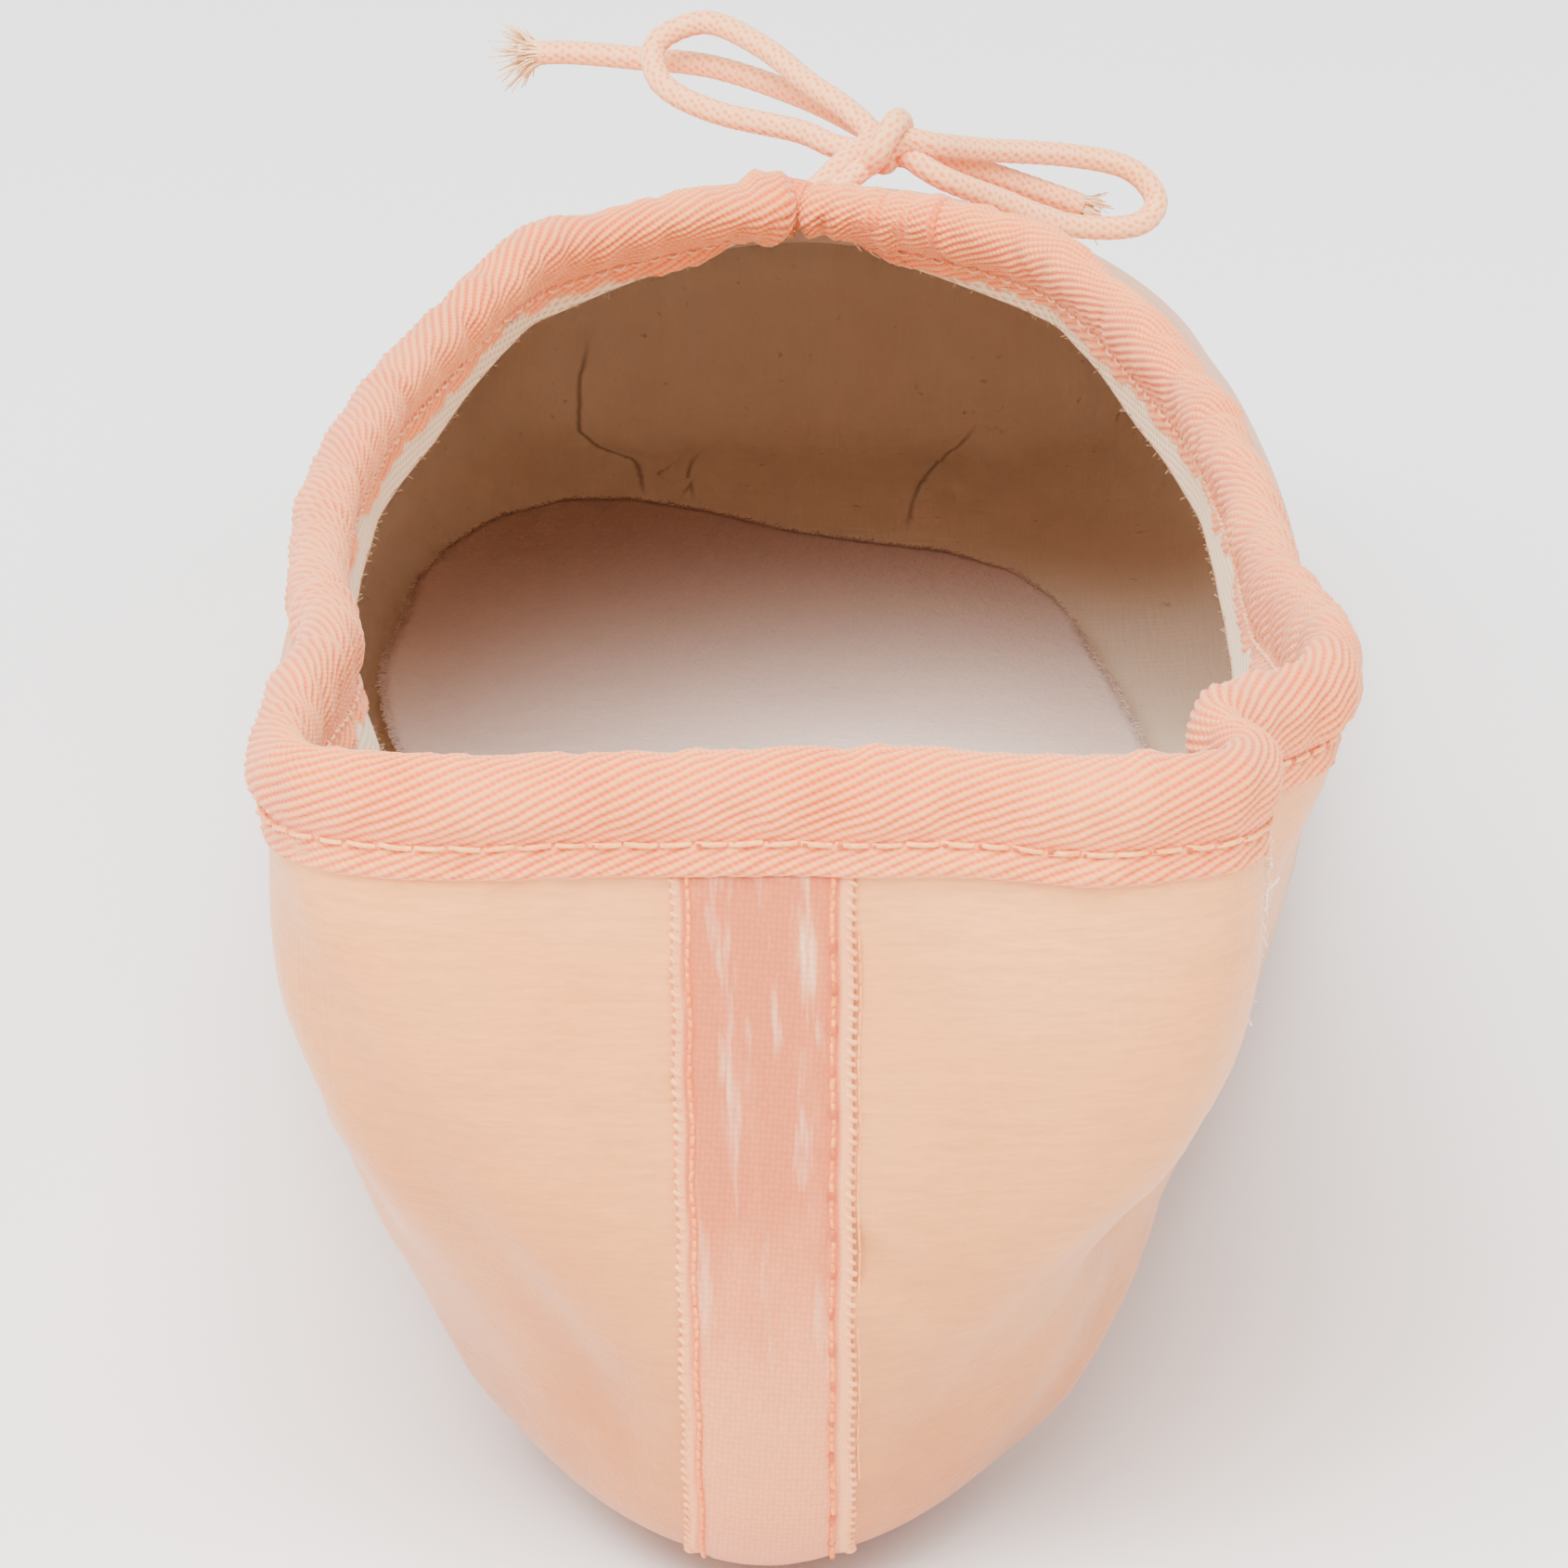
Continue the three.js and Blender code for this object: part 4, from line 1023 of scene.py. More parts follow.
TAPE_LIGHT, TAPE_MID, TAPE_DEEP = linear(255, 164, 98), linear(248, 120, 52), linear(206, 74, 16)
twill, tree, shader = new_finish(
    "twill_tape", Roughness=0.78, Specular_IOR_Level=0.25, Sheen_Weight=0.3, Sheen_Roughness=0.5,
)
tape_place = add_node(tree, "ShaderNodeAttribute", {"attribute_name": "tape_place"})
parts = add_node(tree, "ShaderNodeSeparateXYZ", Vector=tape_place.outputs["Vector"])
spot = add_node(tree, "ShaderNodeTexCoord").outputs["Object"]
along_rib = add_node(
    tree, "ShaderNodeVectorMath", {"operation": "DOT_PRODUCT"}, _0=tape_place.outputs["Vector"],
    _1=(-math.cos(TWILL_ANGLE) / BEAD_LENGTH, math.sin(TWILL_ANGLE) / BEAD_LENGTH, 0),
)
across_rib = add_node(
    tree, "ShaderNodeVectorMath", {"operation": "DOT_PRODUCT"}, _0=tape_place.outputs["Vector"],
    _1=(math.sin(TWILL_ANGLE) / TWILL_PITCH / MM / 2, math.cos(TWILL_ANGLE) / TWILL_PITCH / MM / 2, 0),
)
rib_step = figure(tree, "ADD", along_rib.outputs["Value"], across_rib.outputs["Value"])
bead_turn = figure(tree, "MULTIPLY", rib_step, 2 * math.pi)
beads = figure(tree, "SINE", bead_turn)
# Painted shade: the tape is lighter on the crowns of its twill ribs and darker between them, on the binding
# and the throat fold.
crown = rescale(tree, parts.outputs["Z"], 0.0, 1.0, 0.0, 0.62)
drift = patches(tree, spot, 120.0, 3.0)
shade = figure(tree, "MULTIPLY_ADD", drift, 0.45, crown)
beaded = figure(tree, "MULTIPLY_ADD", beads, 0.07, shade)
ramp = colours(tree, beaded, (0.05, TAPE_DEEP), (0.36, TAPE_MID), (0.78, TAPE_LIGHT))
tree.links.new(ramp, shader.inputs["Base Color"])
emboss(tree, shader, 0.6, 0.00006, beads)

tape_points, tape_faces, tape_places = binding_mesh()


binding = weld("collar_binding", tape_points, tape_faces, twill, places=tape_places)
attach(binding, "root")
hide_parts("binding")


# ---- canvas edge ----
# The cream canvas of the quarters shows as a narrow strip inside, below the binding. It lies
# over the brown glued lining, and its raw lower edge has frayed.

STRIP_TOP, STRIP_LOW = (-1.4, -4.6), (-2.6, -7.6)


def strip_grid():
    walk = np.arange(1.0, COLLAR_LENGTH - 1.0, 0.9)
    tall = 0.25 + 0.75 * ease(np.minimum(walk, COLLAR_LENGTH - walk), 2, 45)
    columns = []
    for share in np.linspace(0, 1, 9):
        wave = np.array([noise.noise(Vector((place / 9.0, share, 4.0))) for place in walk])
        across = STRIP_TOP[0] + (STRIP_LOW[0] - STRIP_TOP[0]) * tall * share ** 0.8 + 0.2 * wave * share
        rise = STRIP_TOP[1] + (STRIP_LOW[1] - STRIP_TOP[1]) * tall * share + 0.5 * wave * share
        columns.append(on_collar(walk, across, rise)[0])
    return np.array(columns)


CREAM_LIGHT, CREAM_DARK = linear(240, 214, 176), linear(204, 168, 124)
cream, tree, shader = new_finish("cream_canvas", Roughness=0.9, Specular_IOR_Level=0.2, Sheen_Weight=0.2)
spot = add_node(tree, "ShaderNodeTexCoord").outputs["Object"]
yarns = []
for direction in ("Z", "Y"):
    yarn = add_node(
        tree, "ShaderNodeTexWave", {"bands_direction": direction}, Vector=spot, Scale=520.0, Distortion=1.5,
    )
    yarns.append(yarn.outputs["Fac"])
woven = figure(tree, "ADD", *yarns)
ramp = colours(tree, woven, (0.2, CREAM_DARK), (1.0, CREAM_LIGHT))
tree.links.new(ramp, shader.inputs["Base Color"])
emboss(tree, shader, 0.5, 0.0001, woven)

strip = strip_grid()
canvas_edge = weld("canvas_edge", strip.reshape(-1, 3), grid_faces(*strip.shape[:2]), cream)
thicken(canvas_edge, 0.35)
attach(canvas_edge, "root")
strip_low, strip_ways = strip[-1], strip[-1] - strip[0]


# ---- throat fold ----
# A short piece of plain tape is wrapped over the binding where its ends meet, to hide the
# join. Its right end is sewn down and its left end is slanted and loose.

FOLD_LENGTH = 11.4


def fold_grid():
    roll, reach = smooth_line(TAPE_LINE[7:22], 64)
    tangent = np.gradient(roll, axis=0)
    tangent /= np.linalg.norm(tangent, axis=1, keepdims=True)
    out = np.column_stack([-tangent[:, 1], tangent[:, 0]])
    points, held = [], []
    for share in np.linspace(0, 1, 90):
        slant = -2.9 + 0.22 * reach
        walk = slant + (FOLD_LENGTH - slant) * share
        puff = np.array([noise.noise(Vector((w / 2.4, r / 2.8, 11.0))) for w, r in zip(walk, reach)])
        knit = np.abs(np.sin(math.pi * walk / 0.66)) * (0.6 + 0.4 * np.cos(2 * math.pi * reach / 0.46))
        tuck = 0.45 * math.exp(-((1 - share) / 0.05) ** 2) + 0.2 * math.exp(-(share / 0.04) ** 2)
        moved = roll + out * (0.62 + 0.3 * puff + 0.14 * knit - tuck)[:, None]
        place, _, _ = on_collar(np.maximum(walk, 0), moved[:, 0], moved[:, 1])
        place = place + np.minimum(walk, 0)[:, None] * collar_along[0]
        points.append(place)
        held.append(np.column_stack([walk * MM, reach * MM, knit]))
    return np.array(points), np.vstack(held)


fold, fold_held = fold_grid()
throat_fold = weld(
    "throat_fold", fold.reshape(-1, 3), grid_faces(*fold.shape[:2], flip=True), twill, places=fold_held,
)
thicken(throat_fold, 0.4)
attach(throat_fold, "root")


# ---- machine stitches ----
# Rows of thread: each stitch is a short arched length of it whose ends go down into the cloth.
# The same row, turned across its line, makes a selvedge's small loops and a frayed edge.


def thread_row_tree():
    """Lays stitches along a line of points that each carry the way out of the cloth."""
    tree = bpy.data.node_groups.new("thread_row", "GeometryNodeTree")
    tree.is_modifier = True
    sockets = tree.interface
    sockets.new_socket("Geometry", in_out="INPUT", socket_type="NodeSocketGeometry")
    for name in ("Spacing", "Length", "Thickness", "Arch", "Turn", "Wander", "Uneven"):
        sockets.new_socket(name, in_out="INPUT", socket_type="NodeSocketFloat")
    for name in ("Seed", "Steps", "Sides"):
        sockets.new_socket(name, in_out="INPUT", socket_type="NodeSocketInt")
    sockets.new_socket("Thread", in_out="INPUT", socket_type="NodeSocketMaterial")
    sockets.new_socket("Geometry", in_out="OUTPUT", socket_type="NodeSocketGeometry")
    given = add_node(tree, "NodeGroupInput").outputs
    line = add_node(tree, "GeometryNodeMeshToCurve", Mesh=given["Geometry"])
    even = add_node(
        tree, "GeometryNodeResampleCurve", {"mode": "LENGTH"},
        Curve=line.outputs["Curve"], Length=given["Spacing"],
    )
    out = add_node(tree, "GeometryNodeInputNamedAttribute", {"data_type": "FLOAT_VECTOR"}, Name="outwards")
    ahead = add_node(tree, "GeometryNodeInputTangent")
    stood = add_node(
        tree, "FunctionNodeAlignRotationToVector", {"axis": "Z"}, Vector=out.outputs["Attribute"],
    )
    turned = add_node(
        tree, "FunctionNodeAlignRotationToVector", {"axis": "X", "pivot_axis": "Z"},
        Rotation=stood.outputs[0], Vector=ahead.outputs[0],
    )
    across = add_node(tree, "FunctionNodeAxisAngleToRotation", Axis=(0, 0, 1), Angle=given["Turn"])
    placed = add_node(
        tree, "FunctionNodeRotateRotation", {"rotation_space": "LOCAL"},
        _0=turned.outputs[0], _1=across.outputs[0],
    )
    least = figure(tree, "MULTIPLY", given["Wander"], -1.0)
    stray = add_node(
        tree, "FunctionNodeRandomValue", {"data_type": "FLOAT_VECTOR"},
        _0=least, _1=given["Wander"], Seed=given["Seed"],
    )
    stray_turn = add_node(tree, "FunctionNodeEulerToRotation", _0=stray.outputs[0])
    strayed = add_node(
        tree, "FunctionNodeRotateRotation", {"rotation_space": "LOCAL"},
        _0=placed.outputs[0], _1=stray_turn.outputs[0],
    )
    shortest = figure(tree, "SUBTRACT", 1.0, given["Uneven"])
    longest = figure(tree, "ADD", 1.0, given["Uneven"])
    size = add_node(
        tree, "FunctionNodeRandomValue", {"data_type": "FLOAT"},
        _2=shortest, _3=longest, Seed=given["Seed"],
    )
    half = figure(tree, "MULTIPLY", given["Length"], 0.5)
    back = figure(tree, "MULTIPLY", given["Length"], -0.5)
    sink = figure(tree, "MULTIPLY", given["Arch"], -1.0)
    crest = figure(tree, "MULTIPLY", given["Arch"], 2.2)
    start = add_node(tree, "ShaderNodeCombineXYZ", X=back, Z=sink)
    top = add_node(tree, "ShaderNodeCombineXYZ", Z=crest)
    end = add_node(tree, "ShaderNodeCombineXYZ", X=half, Z=sink)
    arch = add_node(
        tree, "GeometryNodeCurveQuadraticBezier", Resolution=given["Steps"],
        Start=start.outputs[0], Middle=top.outputs[0], End=end.outputs[0],
    )
    radius = figure(tree, "MULTIPLY", given["Thickness"], 0.5)
    round_line = add_node(
        tree, "GeometryNodeCurvePrimitiveCircle", {"mode": "RADIUS"},
        Resolution=given["Sides"], Radius=radius,
    )
    stitch = add_node(
        tree, "GeometryNodeCurveToMesh",
        Curve=arch.outputs["Curve"], Profile_Curve=round_line.outputs["Curve"], Fill_Caps=True,
    )
    laid = add_node(
        tree, "GeometryNodeInstanceOnPoints", Points=even.outputs["Curve"], Instance=stitch.outputs["Mesh"],
        Rotation=strayed.outputs[0], Scale=size.outputs[1],
    )
    real = add_node(tree, "GeometryNodeRealizeInstances", Geometry=laid.outputs["Instances"])
    dyed = add_node(
        tree, "GeometryNodeSetMaterial", Geometry=real.outputs["Geometry"], Material=given["Thread"],
    )
    add_node(tree, "NodeGroupOutput", Geometry=dyed.outputs["Geometry"])
    return tree


THREAD_ROW = thread_row_tree()


def lay_threads(name, lines, finish, slot, steps=5, sides=6, turn=0.0, **values):
    """Real threads along lines of (points, ways out), with sizes in millimetres and radians."""
    points, edges, ways = [], [], []
    for line, outs in lines:
        first = len(points)
        points += (np.asarray(line) * MM).tolist()
        ways += np.asarray(outs).tolist()
        edges += [(k, k + 1) for k in range(first, len(points) - 1)]
    guide_mesh = bpy.data.meshes.new(name + "_line")
    guide_mesh.from_pydata(points, edges, [])
    held = guide_mesh.attributes.new("outwards", "FLOAT_VECTOR", "POINT")
    held.data.foreach_set("vector", np.array(ways).ravel())
    guide = bpy.data.objects.new(name + "_line", guide_mesh)
    bpy.context.collection.objects.link(guide)
    laid = guide.modifiers.new("threads", "NODES")
    laid.node_group = THREAD_ROW
    place = {
        item.name: item.identifier for item in THREAD_ROW.interface.items_tree
        if item.in_out == "INPUT" and item.name != "Geometry"
    }
    for key, value in {**values, "steps": steps, "sides": sides, "turn": turn}.items():
        socket = key.capitalize()
        if socket in ("Spacing", "Length", "Thickness", "Arch"):
            value = value * MM
        laid[place[socket]] = value if socket in ("Seed", "Steps", "Sides") else float(value)
    laid[place["Thread"]] = finish
    seen = guide.evaluated_get(bpy.context.evaluated_depsgraph_get())
    made = bpy.data.meshes.new_from_object(seen)
    made.name = name
    bpy.data.objects.remove(guide)
    made.polygons.foreach_set("use_smooth", [True] * len(made.polygons))
    piece = bpy.data.objects.new(name, made)
    bpy.context.collection.objects.link(piece)
    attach(piece, "root")
    return piece


def thread_finish(name, light, dark):
    finish, tree, shader = new_finish(
        name, Roughness=0.55, Specular_IOR_Level=0.35, Sheen_Weight=0.2, Sheen_Roughness=0.4,
    )
    spot = add_node(tree, "ShaderNodeTexCoord").outputs["Object"]
    twist = patches(tree, spot, 2200.0, 2.0)
    broad = patches(tree, spot, 150.0, 2.0)
    mixed = figure(tree, "MULTIPLY_ADD", broad, 0.6, twist)
    ramp = colours(tree, mixed, (0.55, dark), (0.98, light))
    tree.links.new(ramp, shader.inputs["Base Color"])
    emboss(tree, shader, 0.5, 0.0001, twist)
    return finish


orange_thread = thread_finish("orange_thread", linear(255, 184, 108), linear(244, 146, 66))
deep_orange_thread = thread_finish("deep_orange_thread", linear(250, 152, 68), linear(230, 110, 32))
# The needle holes are short dark threads sunk in the cloth; their dark colour is painted shade in the
# holes.
needle_hole = thread_finish("needle_hole", linear(214, 100, 38), linear(184, 72, 22))
peach_thread = thread_finish("peach_thread", linear(255, 206, 158), linear(244, 172, 118))
white_thread = thread_finish("white_thread", linear(255, 244, 230), linear(248, 214, 184))
selvedge_thread = thread_finish("selvedge_thread", linear(250, 176, 112), linear(240, 148, 80))
raw_thread = thread_finish("raw_thread", linear(255, 220, 172), linear(247, 190, 136))
brown_thread = thread_finish("brown_thread", linear(188, 148, 108), linear(132, 94, 62))


def row_on_tape(across, rise):
    walk = np.arange(3.0, COLLAR_LENGTH - 3.0, 0.6)
    line, ways, _ = on_collar(walk, np.full(len(walk), across), np.full(len(walk), rise))
    return line, ways


outer_row, outer_ways = row_on_tape(OUTER_STITCH[0] + 0.1, OUTER_STITCH[1])
inner_row, inner_ways = row_on_tape(INNER_STITCH[0] - 0.1, INNER_STITCH[1])
lay_threads(
    "binding_stitches", [(outer_row, outer_ways)], orange_thread, "thread",
    spacing=2.2, length=1.9, thickness=0.34, arch=0.13, wander=0.08, uneven=0.08, seed=3,
)
lay_threads(
    "inner_stitches", [(inner_row, -inner_ways)], peach_thread, "thread",
    spacing=1.5, length=0.95, thickness=0.24, arch=0.12, wander=0.12, uneven=0.12,
    seed=9, steps=4,
)
lay_threads(
    "binding_needle_holes", [(outer_row[2:] - outer_ways[2:] * 0.02, outer_ways[2:])],
    needle_hole, "thread",
    spacing=2.2, length=0.42, thickness=0.28, arch=0.04, wander=0.1, uneven=0.2,
    seed=4, steps=3,
)


# ---- heel tape ----
# A narrow woven ribbon that covers the back seam. Its loopy selvedges are sewn down with
# orange thread, it goes up under the binding, and its lower end is turned under the heel.

TAPE_LEFT_TOP, TAPE_LEFT_LOW, TAPE_RIGHT = -6.0, -5.1, 5.45
TAPE_LEFT_STITCH, TAPE_RIGHT_STITCH = 0.95, 1.25
TAPE_STAND = 0.34
TAPE_THICKNESS = 0.3
BACK_WEIGHTS = rise_weights(np.concatenate([np.linspace(0.03, 0.3, 26), np.linspace(0.31, 0.968, 74)]))


def heel_line(x, stand):
    """The line down the back of the heel at one distance from its middle, and the ways out."""
    radius = (BACK_WEIGHTS @ HEEL_BACK_LINE)[:, 0]
    for _ in range(4):
        angle = np.arccos(np.clip(np.abs(x) / radius, 0, 1))
        radius = heel_section(angle, BACK_WEIGHTS)[:, 0]
    profile = heel_section(angle, BACK_WEIGHTS)
    behind = profile[:, 0] * np.sin(angle)
    line = np.column_stack([np.broadcast_to(x, len(behind)), HEEL_AXIS - behind - MIDDLE, profile[:, 1]])
    away = np.cross([1.0, 0, 0], np.gradient(line, axis=0))
    away /= np.linalg.norm(away, axis=1, keepdims=True)
    return line + away * stand, away


def tape_edges():
    heights = (BACK_WEIGHTS @ HEEL_BACK_LINE)[:, 1]
    share = np.clip((heights - 3) / 52, 0, 1)
    left = TAPE_LEFT_LOW + (TAPE_LEFT_TOP - TAPE_LEFT_LOW) * share
    left = left + 0.07 * np.sin(heights * 0.9)
    right = np.full(len(heights), TAPE_RIGHT) + 0.06 * np.sin(heights * 0.7 + 1)
    return left, right


tape_left, tape_right = tape_edges()
tape_columns = []
tape_held = []
TAPE_SHARES = np.linspace(0, 1, 41)
walked_down = None
for share in TAPE_SHARES:
    x = tape_left + (tape_right - tape_left) * share
    rumple = np.array([
        noise.noise(Vector((share * 4.0, k * 0.09, 3.0)))
        + 0.6 * noise.noise(Vector((share * 2.0, k * 0.3, 9.0)))
        for k in range(len(x))
    ])
    held_down = math.exp(-(((share - 0.085) / 0.05) ** 2)) + math.exp(-(((share - 0.89) / 0.05) ** 2))
    stand = TAPE_STAND + 0.12 * rumple * (1 - held_down) - 0.14 * held_down
    column, away = heel_line(x, 0.0)
    column = column + away * stand[:, None]
    if walked_down is None:
        walked_down = np.concatenate([[0], np.cumsum(np.linalg.norm(np.diff(column, axis=0), axis=1))])
    tape_columns.append(column)
    tape_held.append(np.column_stack([x * MM, walked_down * MM, np.full(len(x), share)]))
tape_grid = np.array(tape_columns)

RIBBON_ROSE, RIBBON_PALE, RIBBON_GLINT = linear(214, 108, 58), linear(238, 146, 88), linear(252, 202, 160)
RIBBON_SEWN, RIBBON_EDGE = linear(230, 104, 36), linear(248, 166, 104)
ribbon, tree, shader = new_finish(
    "heel_ribbon", Sheen_Weight=0.25, Sheen_Roughness=0.35, Specular_IOR_Level=0.45, Anisotropic=0.3,
)
tape_place = add_node(tree, "ShaderNodeAttribute", {"attribute_name": "tape_place"})
parts = add_node(tree, "ShaderNodeSeparateXYZ", Vector=tape_place.outputs["Vector"])
weave_place = stretched(tree, tape_place.outputs["Vector"], (2900.0, 2300.0, 0.0), Rotation=(0, 0, 0.06))
weave = add_node(tree, "ShaderNodeTexVoronoi", Vector=weave_place, Scale=1.0, Randomness=0.35)
high = rescale(tree, parts.outputs["Y"], 0.014, 0.036, 0.0, 1.0)
cloudy = stretched(tree, tape_place.outputs["Vector"], (260.0, 75.0, 0.0))
clouds = patches(tree, cloudy, 1.0, 3.0)
rosy = figure(tree, "MULTIPLY", high, clouds)
base = colours(tree, rosy, (0.1, RIBBON_PALE), (0.46, RIBBON_ROSE))
# Painted highlight: soft whitish glints streak the upper part of the ribbon.
glint_place = stretched(tree, tape_place.outputs["Vector"], (560.0, 62.0, 0.0))
painted_light_layer = patches(tree, glint_place, 1.0, 3.0, Roughness=0.65)
glint = rescale(tree, painted_light_layer, 0.54, 0.74, 0.0, 0.9)
upper_glint = figure(tree, "MULTIPLY", glint, high)
streaked = blend(tree, upper_glint, base, RIBBON_GLINT)
turned = rescale(tree, parts.outputs["Y"], 0.0, 0.012, 0.75, 0.0)
shaded = blend(tree, turned, streaked, RIBBON_ROSE)
seam = rescale(tree, weave.outputs["Distance"], 0.2, 0.62, 1.0, 0.84)
knit = blend(tree, 1.0, shaded, seam, "MULTIPLY")
from_middle = figure(tree, "SUBTRACT", parts.outputs["Z"], 0.487)
sideways = figure(tree, "ABSOLUTE", from_middle)
from_seam = figure(tree, "SUBTRACT", sideways, 0.402)
beside = figure(tree, "ABSOLUTE", from_seam)
sewn = rescale(tree, beside, 0.012, 0.028, 0.9, 0.0)
dyed = blend(tree, sewn, knit, RIBBON_SEWN)
selvedge = rescale(tree, sideways, 0.43, 0.455, 0.0, 0.8)
edged = blend(tree, selvedge, dyed, RIBBON_EDGE)
tree.links.new(edged, shader.inputs["Base Color"])
gloss = rescale(tree, clouds, 0.0, 1.0, 0.36, 0.5)
tree.links.new(gloss, shader.inputs["Roughness"])
bump = add_node(
    tree, "ShaderNodeBump", {"invert": True},
    Strength=0.4, Distance=0.0001, Height=weave.outputs["Distance"],
)
tree.links.new(bump.outputs["Normal"], shader.inputs["Normal"])

heel_tape = weld(
    "heel_tape", tape_grid.reshape(-1, 3), grid_faces(*tape_grid.shape[:2], flip=True),
    ribbon, places=np.vstack(tape_held),
)
thicken(heel_tape, TAPE_THICKNESS)
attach(heel_tape, "root")

SEWN = slice(2, 100)
left_seam, left_ways = heel_line(tape_left + TAPE_LEFT_STITCH, TAPE_STAND - 0.06)
right_seam, right_ways = heel_line(tape_right - TAPE_RIGHT_STITCH, TAPE_STAND - 0.06)
lay_threads(
    "heel_tape_stitches", [(left_seam[SEWN], left_ways[SEWN]), (right_seam[SEWN], right_ways[SEWN])],
    deep_orange_thread, "thread",
    spacing=0.78, length=0.66, thickness=0.3, arch=0.14, wander=0.16, uneven=0.12, seed=5,
)
lay_threads(
    "heel_needle_holes", [(right_seam[3:96] + right_ways[3:96] * 0.05, right_ways[3:96])],
    needle_hole, "thread",
    spacing=2.7, length=0.55, thickness=0.42, arch=0.12, wander=0.2, uneven=0.25,
    seed=6, steps=3,
)
old_seam, old_ways = heel_line(tape_right + 0.42, 0.02)
lay_threads(
    "old_seam_stitches", [(old_seam[40:96], old_ways[40:96])], orange_thread, "thread",
    spacing=1.6, length=1.5, thickness=0.16, arch=0.07, wander=0.05, uneven=0.1, seed=7,
)
left_loops, left_loop_ways = heel_line(tape_left + 0.12, TAPE_STAND - 0.1)
right_loops, right_loop_ways = heel_line(tape_right - 0.12, TAPE_STAND - 0.1)
lay_threads(
    "heel_tape_loops",
    [(left_loops[SEWN], left_loop_ways[SEWN]), (right_loops[SEWN], right_loop_ways[SEWN])],
    selvedge_thread, "satin",
    spacing=0.74, length=0.66, thickness=0.34, arch=0.1, turn=0.95, wander=0.14, uneven=0.15, seed=8,
)


# ---- drawstring ----
# A round braided cotton cord that runs inside the binding and comes out of the gap at the
# throat. It is tied in a bow; one cord makes the left loop, the other the right one.

CORD_DIAMETER = 1.8
BRAID_PITCH = 2.1
BRAID_STRANDS = 4

# Routes in millimetres, from the mouth of the binding through the knot to the frayed end.
LEFT_LOOP_CORD = [
    (1.4, 26.2, 55.6), (3.6, 27.6, 57.4), (5.6, 29.6, 58.7),
    (4.2, 31.4, 60.1), (0.8, 34.6, 61.6), (-2.8, 38.6, 63.3), (-7.1, 41.6, 64.3), (-10.9, 41.6, 62.6),
    (-10.4, 39.0, 60.2), (-6.3, 35.8, 58.9), (0.1, 31.8, 58.6), (3.0, 29.4, 58.1), (6.2, 28.9, 57.8),
    (9.2, 31.4, 56.6), (13.4, 34.0, 55.0), (18.0, 36.2, 52.8), (21.6, 37.2, 51.2),
]
RIGHT_LOOP_CORD = [
    (2.6, 25.9, 55.4), (5.0, 27.2, 57.0), (8.0, 28.8, 58.7),
    (10.6, 29.6, 58.2), (14.4, 33.0, 56.8), (20.6, 36.4, 55.4), (25.3, 37.6, 54.0), (27.4, 36.6, 51.8),
    (25.8, 34.6, 50.4), (20.6, 32.6, 51.0), (15.6, 30.6, 53.5), (10.9, 28.2, 56.1), (7.6, 29.8, 57.9),
    (5.2, 33.6, 58.3), (0.6, 38.2, 59.3), (-6.4, 43.4, 60.2), (-12.9, 45.6, 60.3), (-17.4, 46.6, 60.4),
    (-20.2, 46.9, 60.3),
]


def carried_frames(line):
    """Directions across a line, carried along it without twisting."""
    ahead = np.gradient(line, axis=0)
    ahead /= np.linalg.norm(ahead, axis=1, keepdims=True)
    side = np.cross(ahead[0], [0, 0, 1.0])
    sides = []
    for way in ahead:
        side = side - way * (side @ way)
        side = side / np.linalg.norm(side)
        sides.append(side)
    sides = np.array(sides)
    return sides, np.cross(ahead, sides), ahead


def braided_cord(name, route, diameter, step=0.16, sides=22):
    """A closed tube with the plaits of a round braid raised on it, its centre line and length."""
    length = smooth_line(route, 10)[1][-1]
    line, walk = smooth_line(route, int(length / step))
    across, up, _ = carried_frames(line)
    turns = np.linspace(0, 2 * math.pi, sides, endpoint=False)
    points, places = [], []
    for k, centre in enumerate(line):
        advance = 2 * math.pi * walk[k] / BRAID_PITCH
        plait = np.maximum(
            np.abs(np.cos(BRAID_STRANDS * turns + advance)),
            np.abs(np.cos(BRAID_STRANDS * turns - advance)),
        )
        radius = diameter / 2 * (0.88 + 0.16 * plait)
        aside = np.outer(np.cos(turns) * radius, across[k])
        points.append(centre + aside + np.outer(np.sin(turns) * radius, up[k]))
        places.append(np.column_stack([np.full(sides, walk[k] * MM), turns * diameter / 2 * MM, plait]))
    faces = tube_faces(len(points), sides)
    cord = weld(name, np.vstack(points), faces, braid, places=np.vstack(places))
    return cord, line, walk[-1]


CORD_LIGHT, CORD_MID, CORD_DEEP = linear(255, 188, 132), linear(255, 170, 112), linear(248, 144, 84)
braid, tree, shader = new_finish(
    "braided_cotton", Roughness=0.75, Specular_IOR_Level=0.25, Sheen_Weight=0.3, Sheen_Roughness=0.5,
)
tape_place = add_node(tree, "ShaderNodeAttribute", {"attribute_name": "tape_place"})
parts = add_node(tree, "ShaderNodeSeparateXYZ", Vector=tape_place.outputs["Vector"])
spot = add_node(tree, "ShaderNodeTexCoord").outputs["Object"]
fibres = patches(tree, spot, 1800.0, 3.0)
# Painted shade: the cord is lighter on its raised plaits and darker between them.
shade = figure(tree, "MULTIPLY_ADD", fibres, 0.35, parts.outputs["Z"])
ramp = colours(tree, shade, (0.82, CORD_DEEP), (0.9, CORD_MID), (1.0, CORD_LIGHT))
tree.links.new(ramp, shader.inputs["Base Color"])
emboss(tree, shader, 0.5, 0.0002, shade)


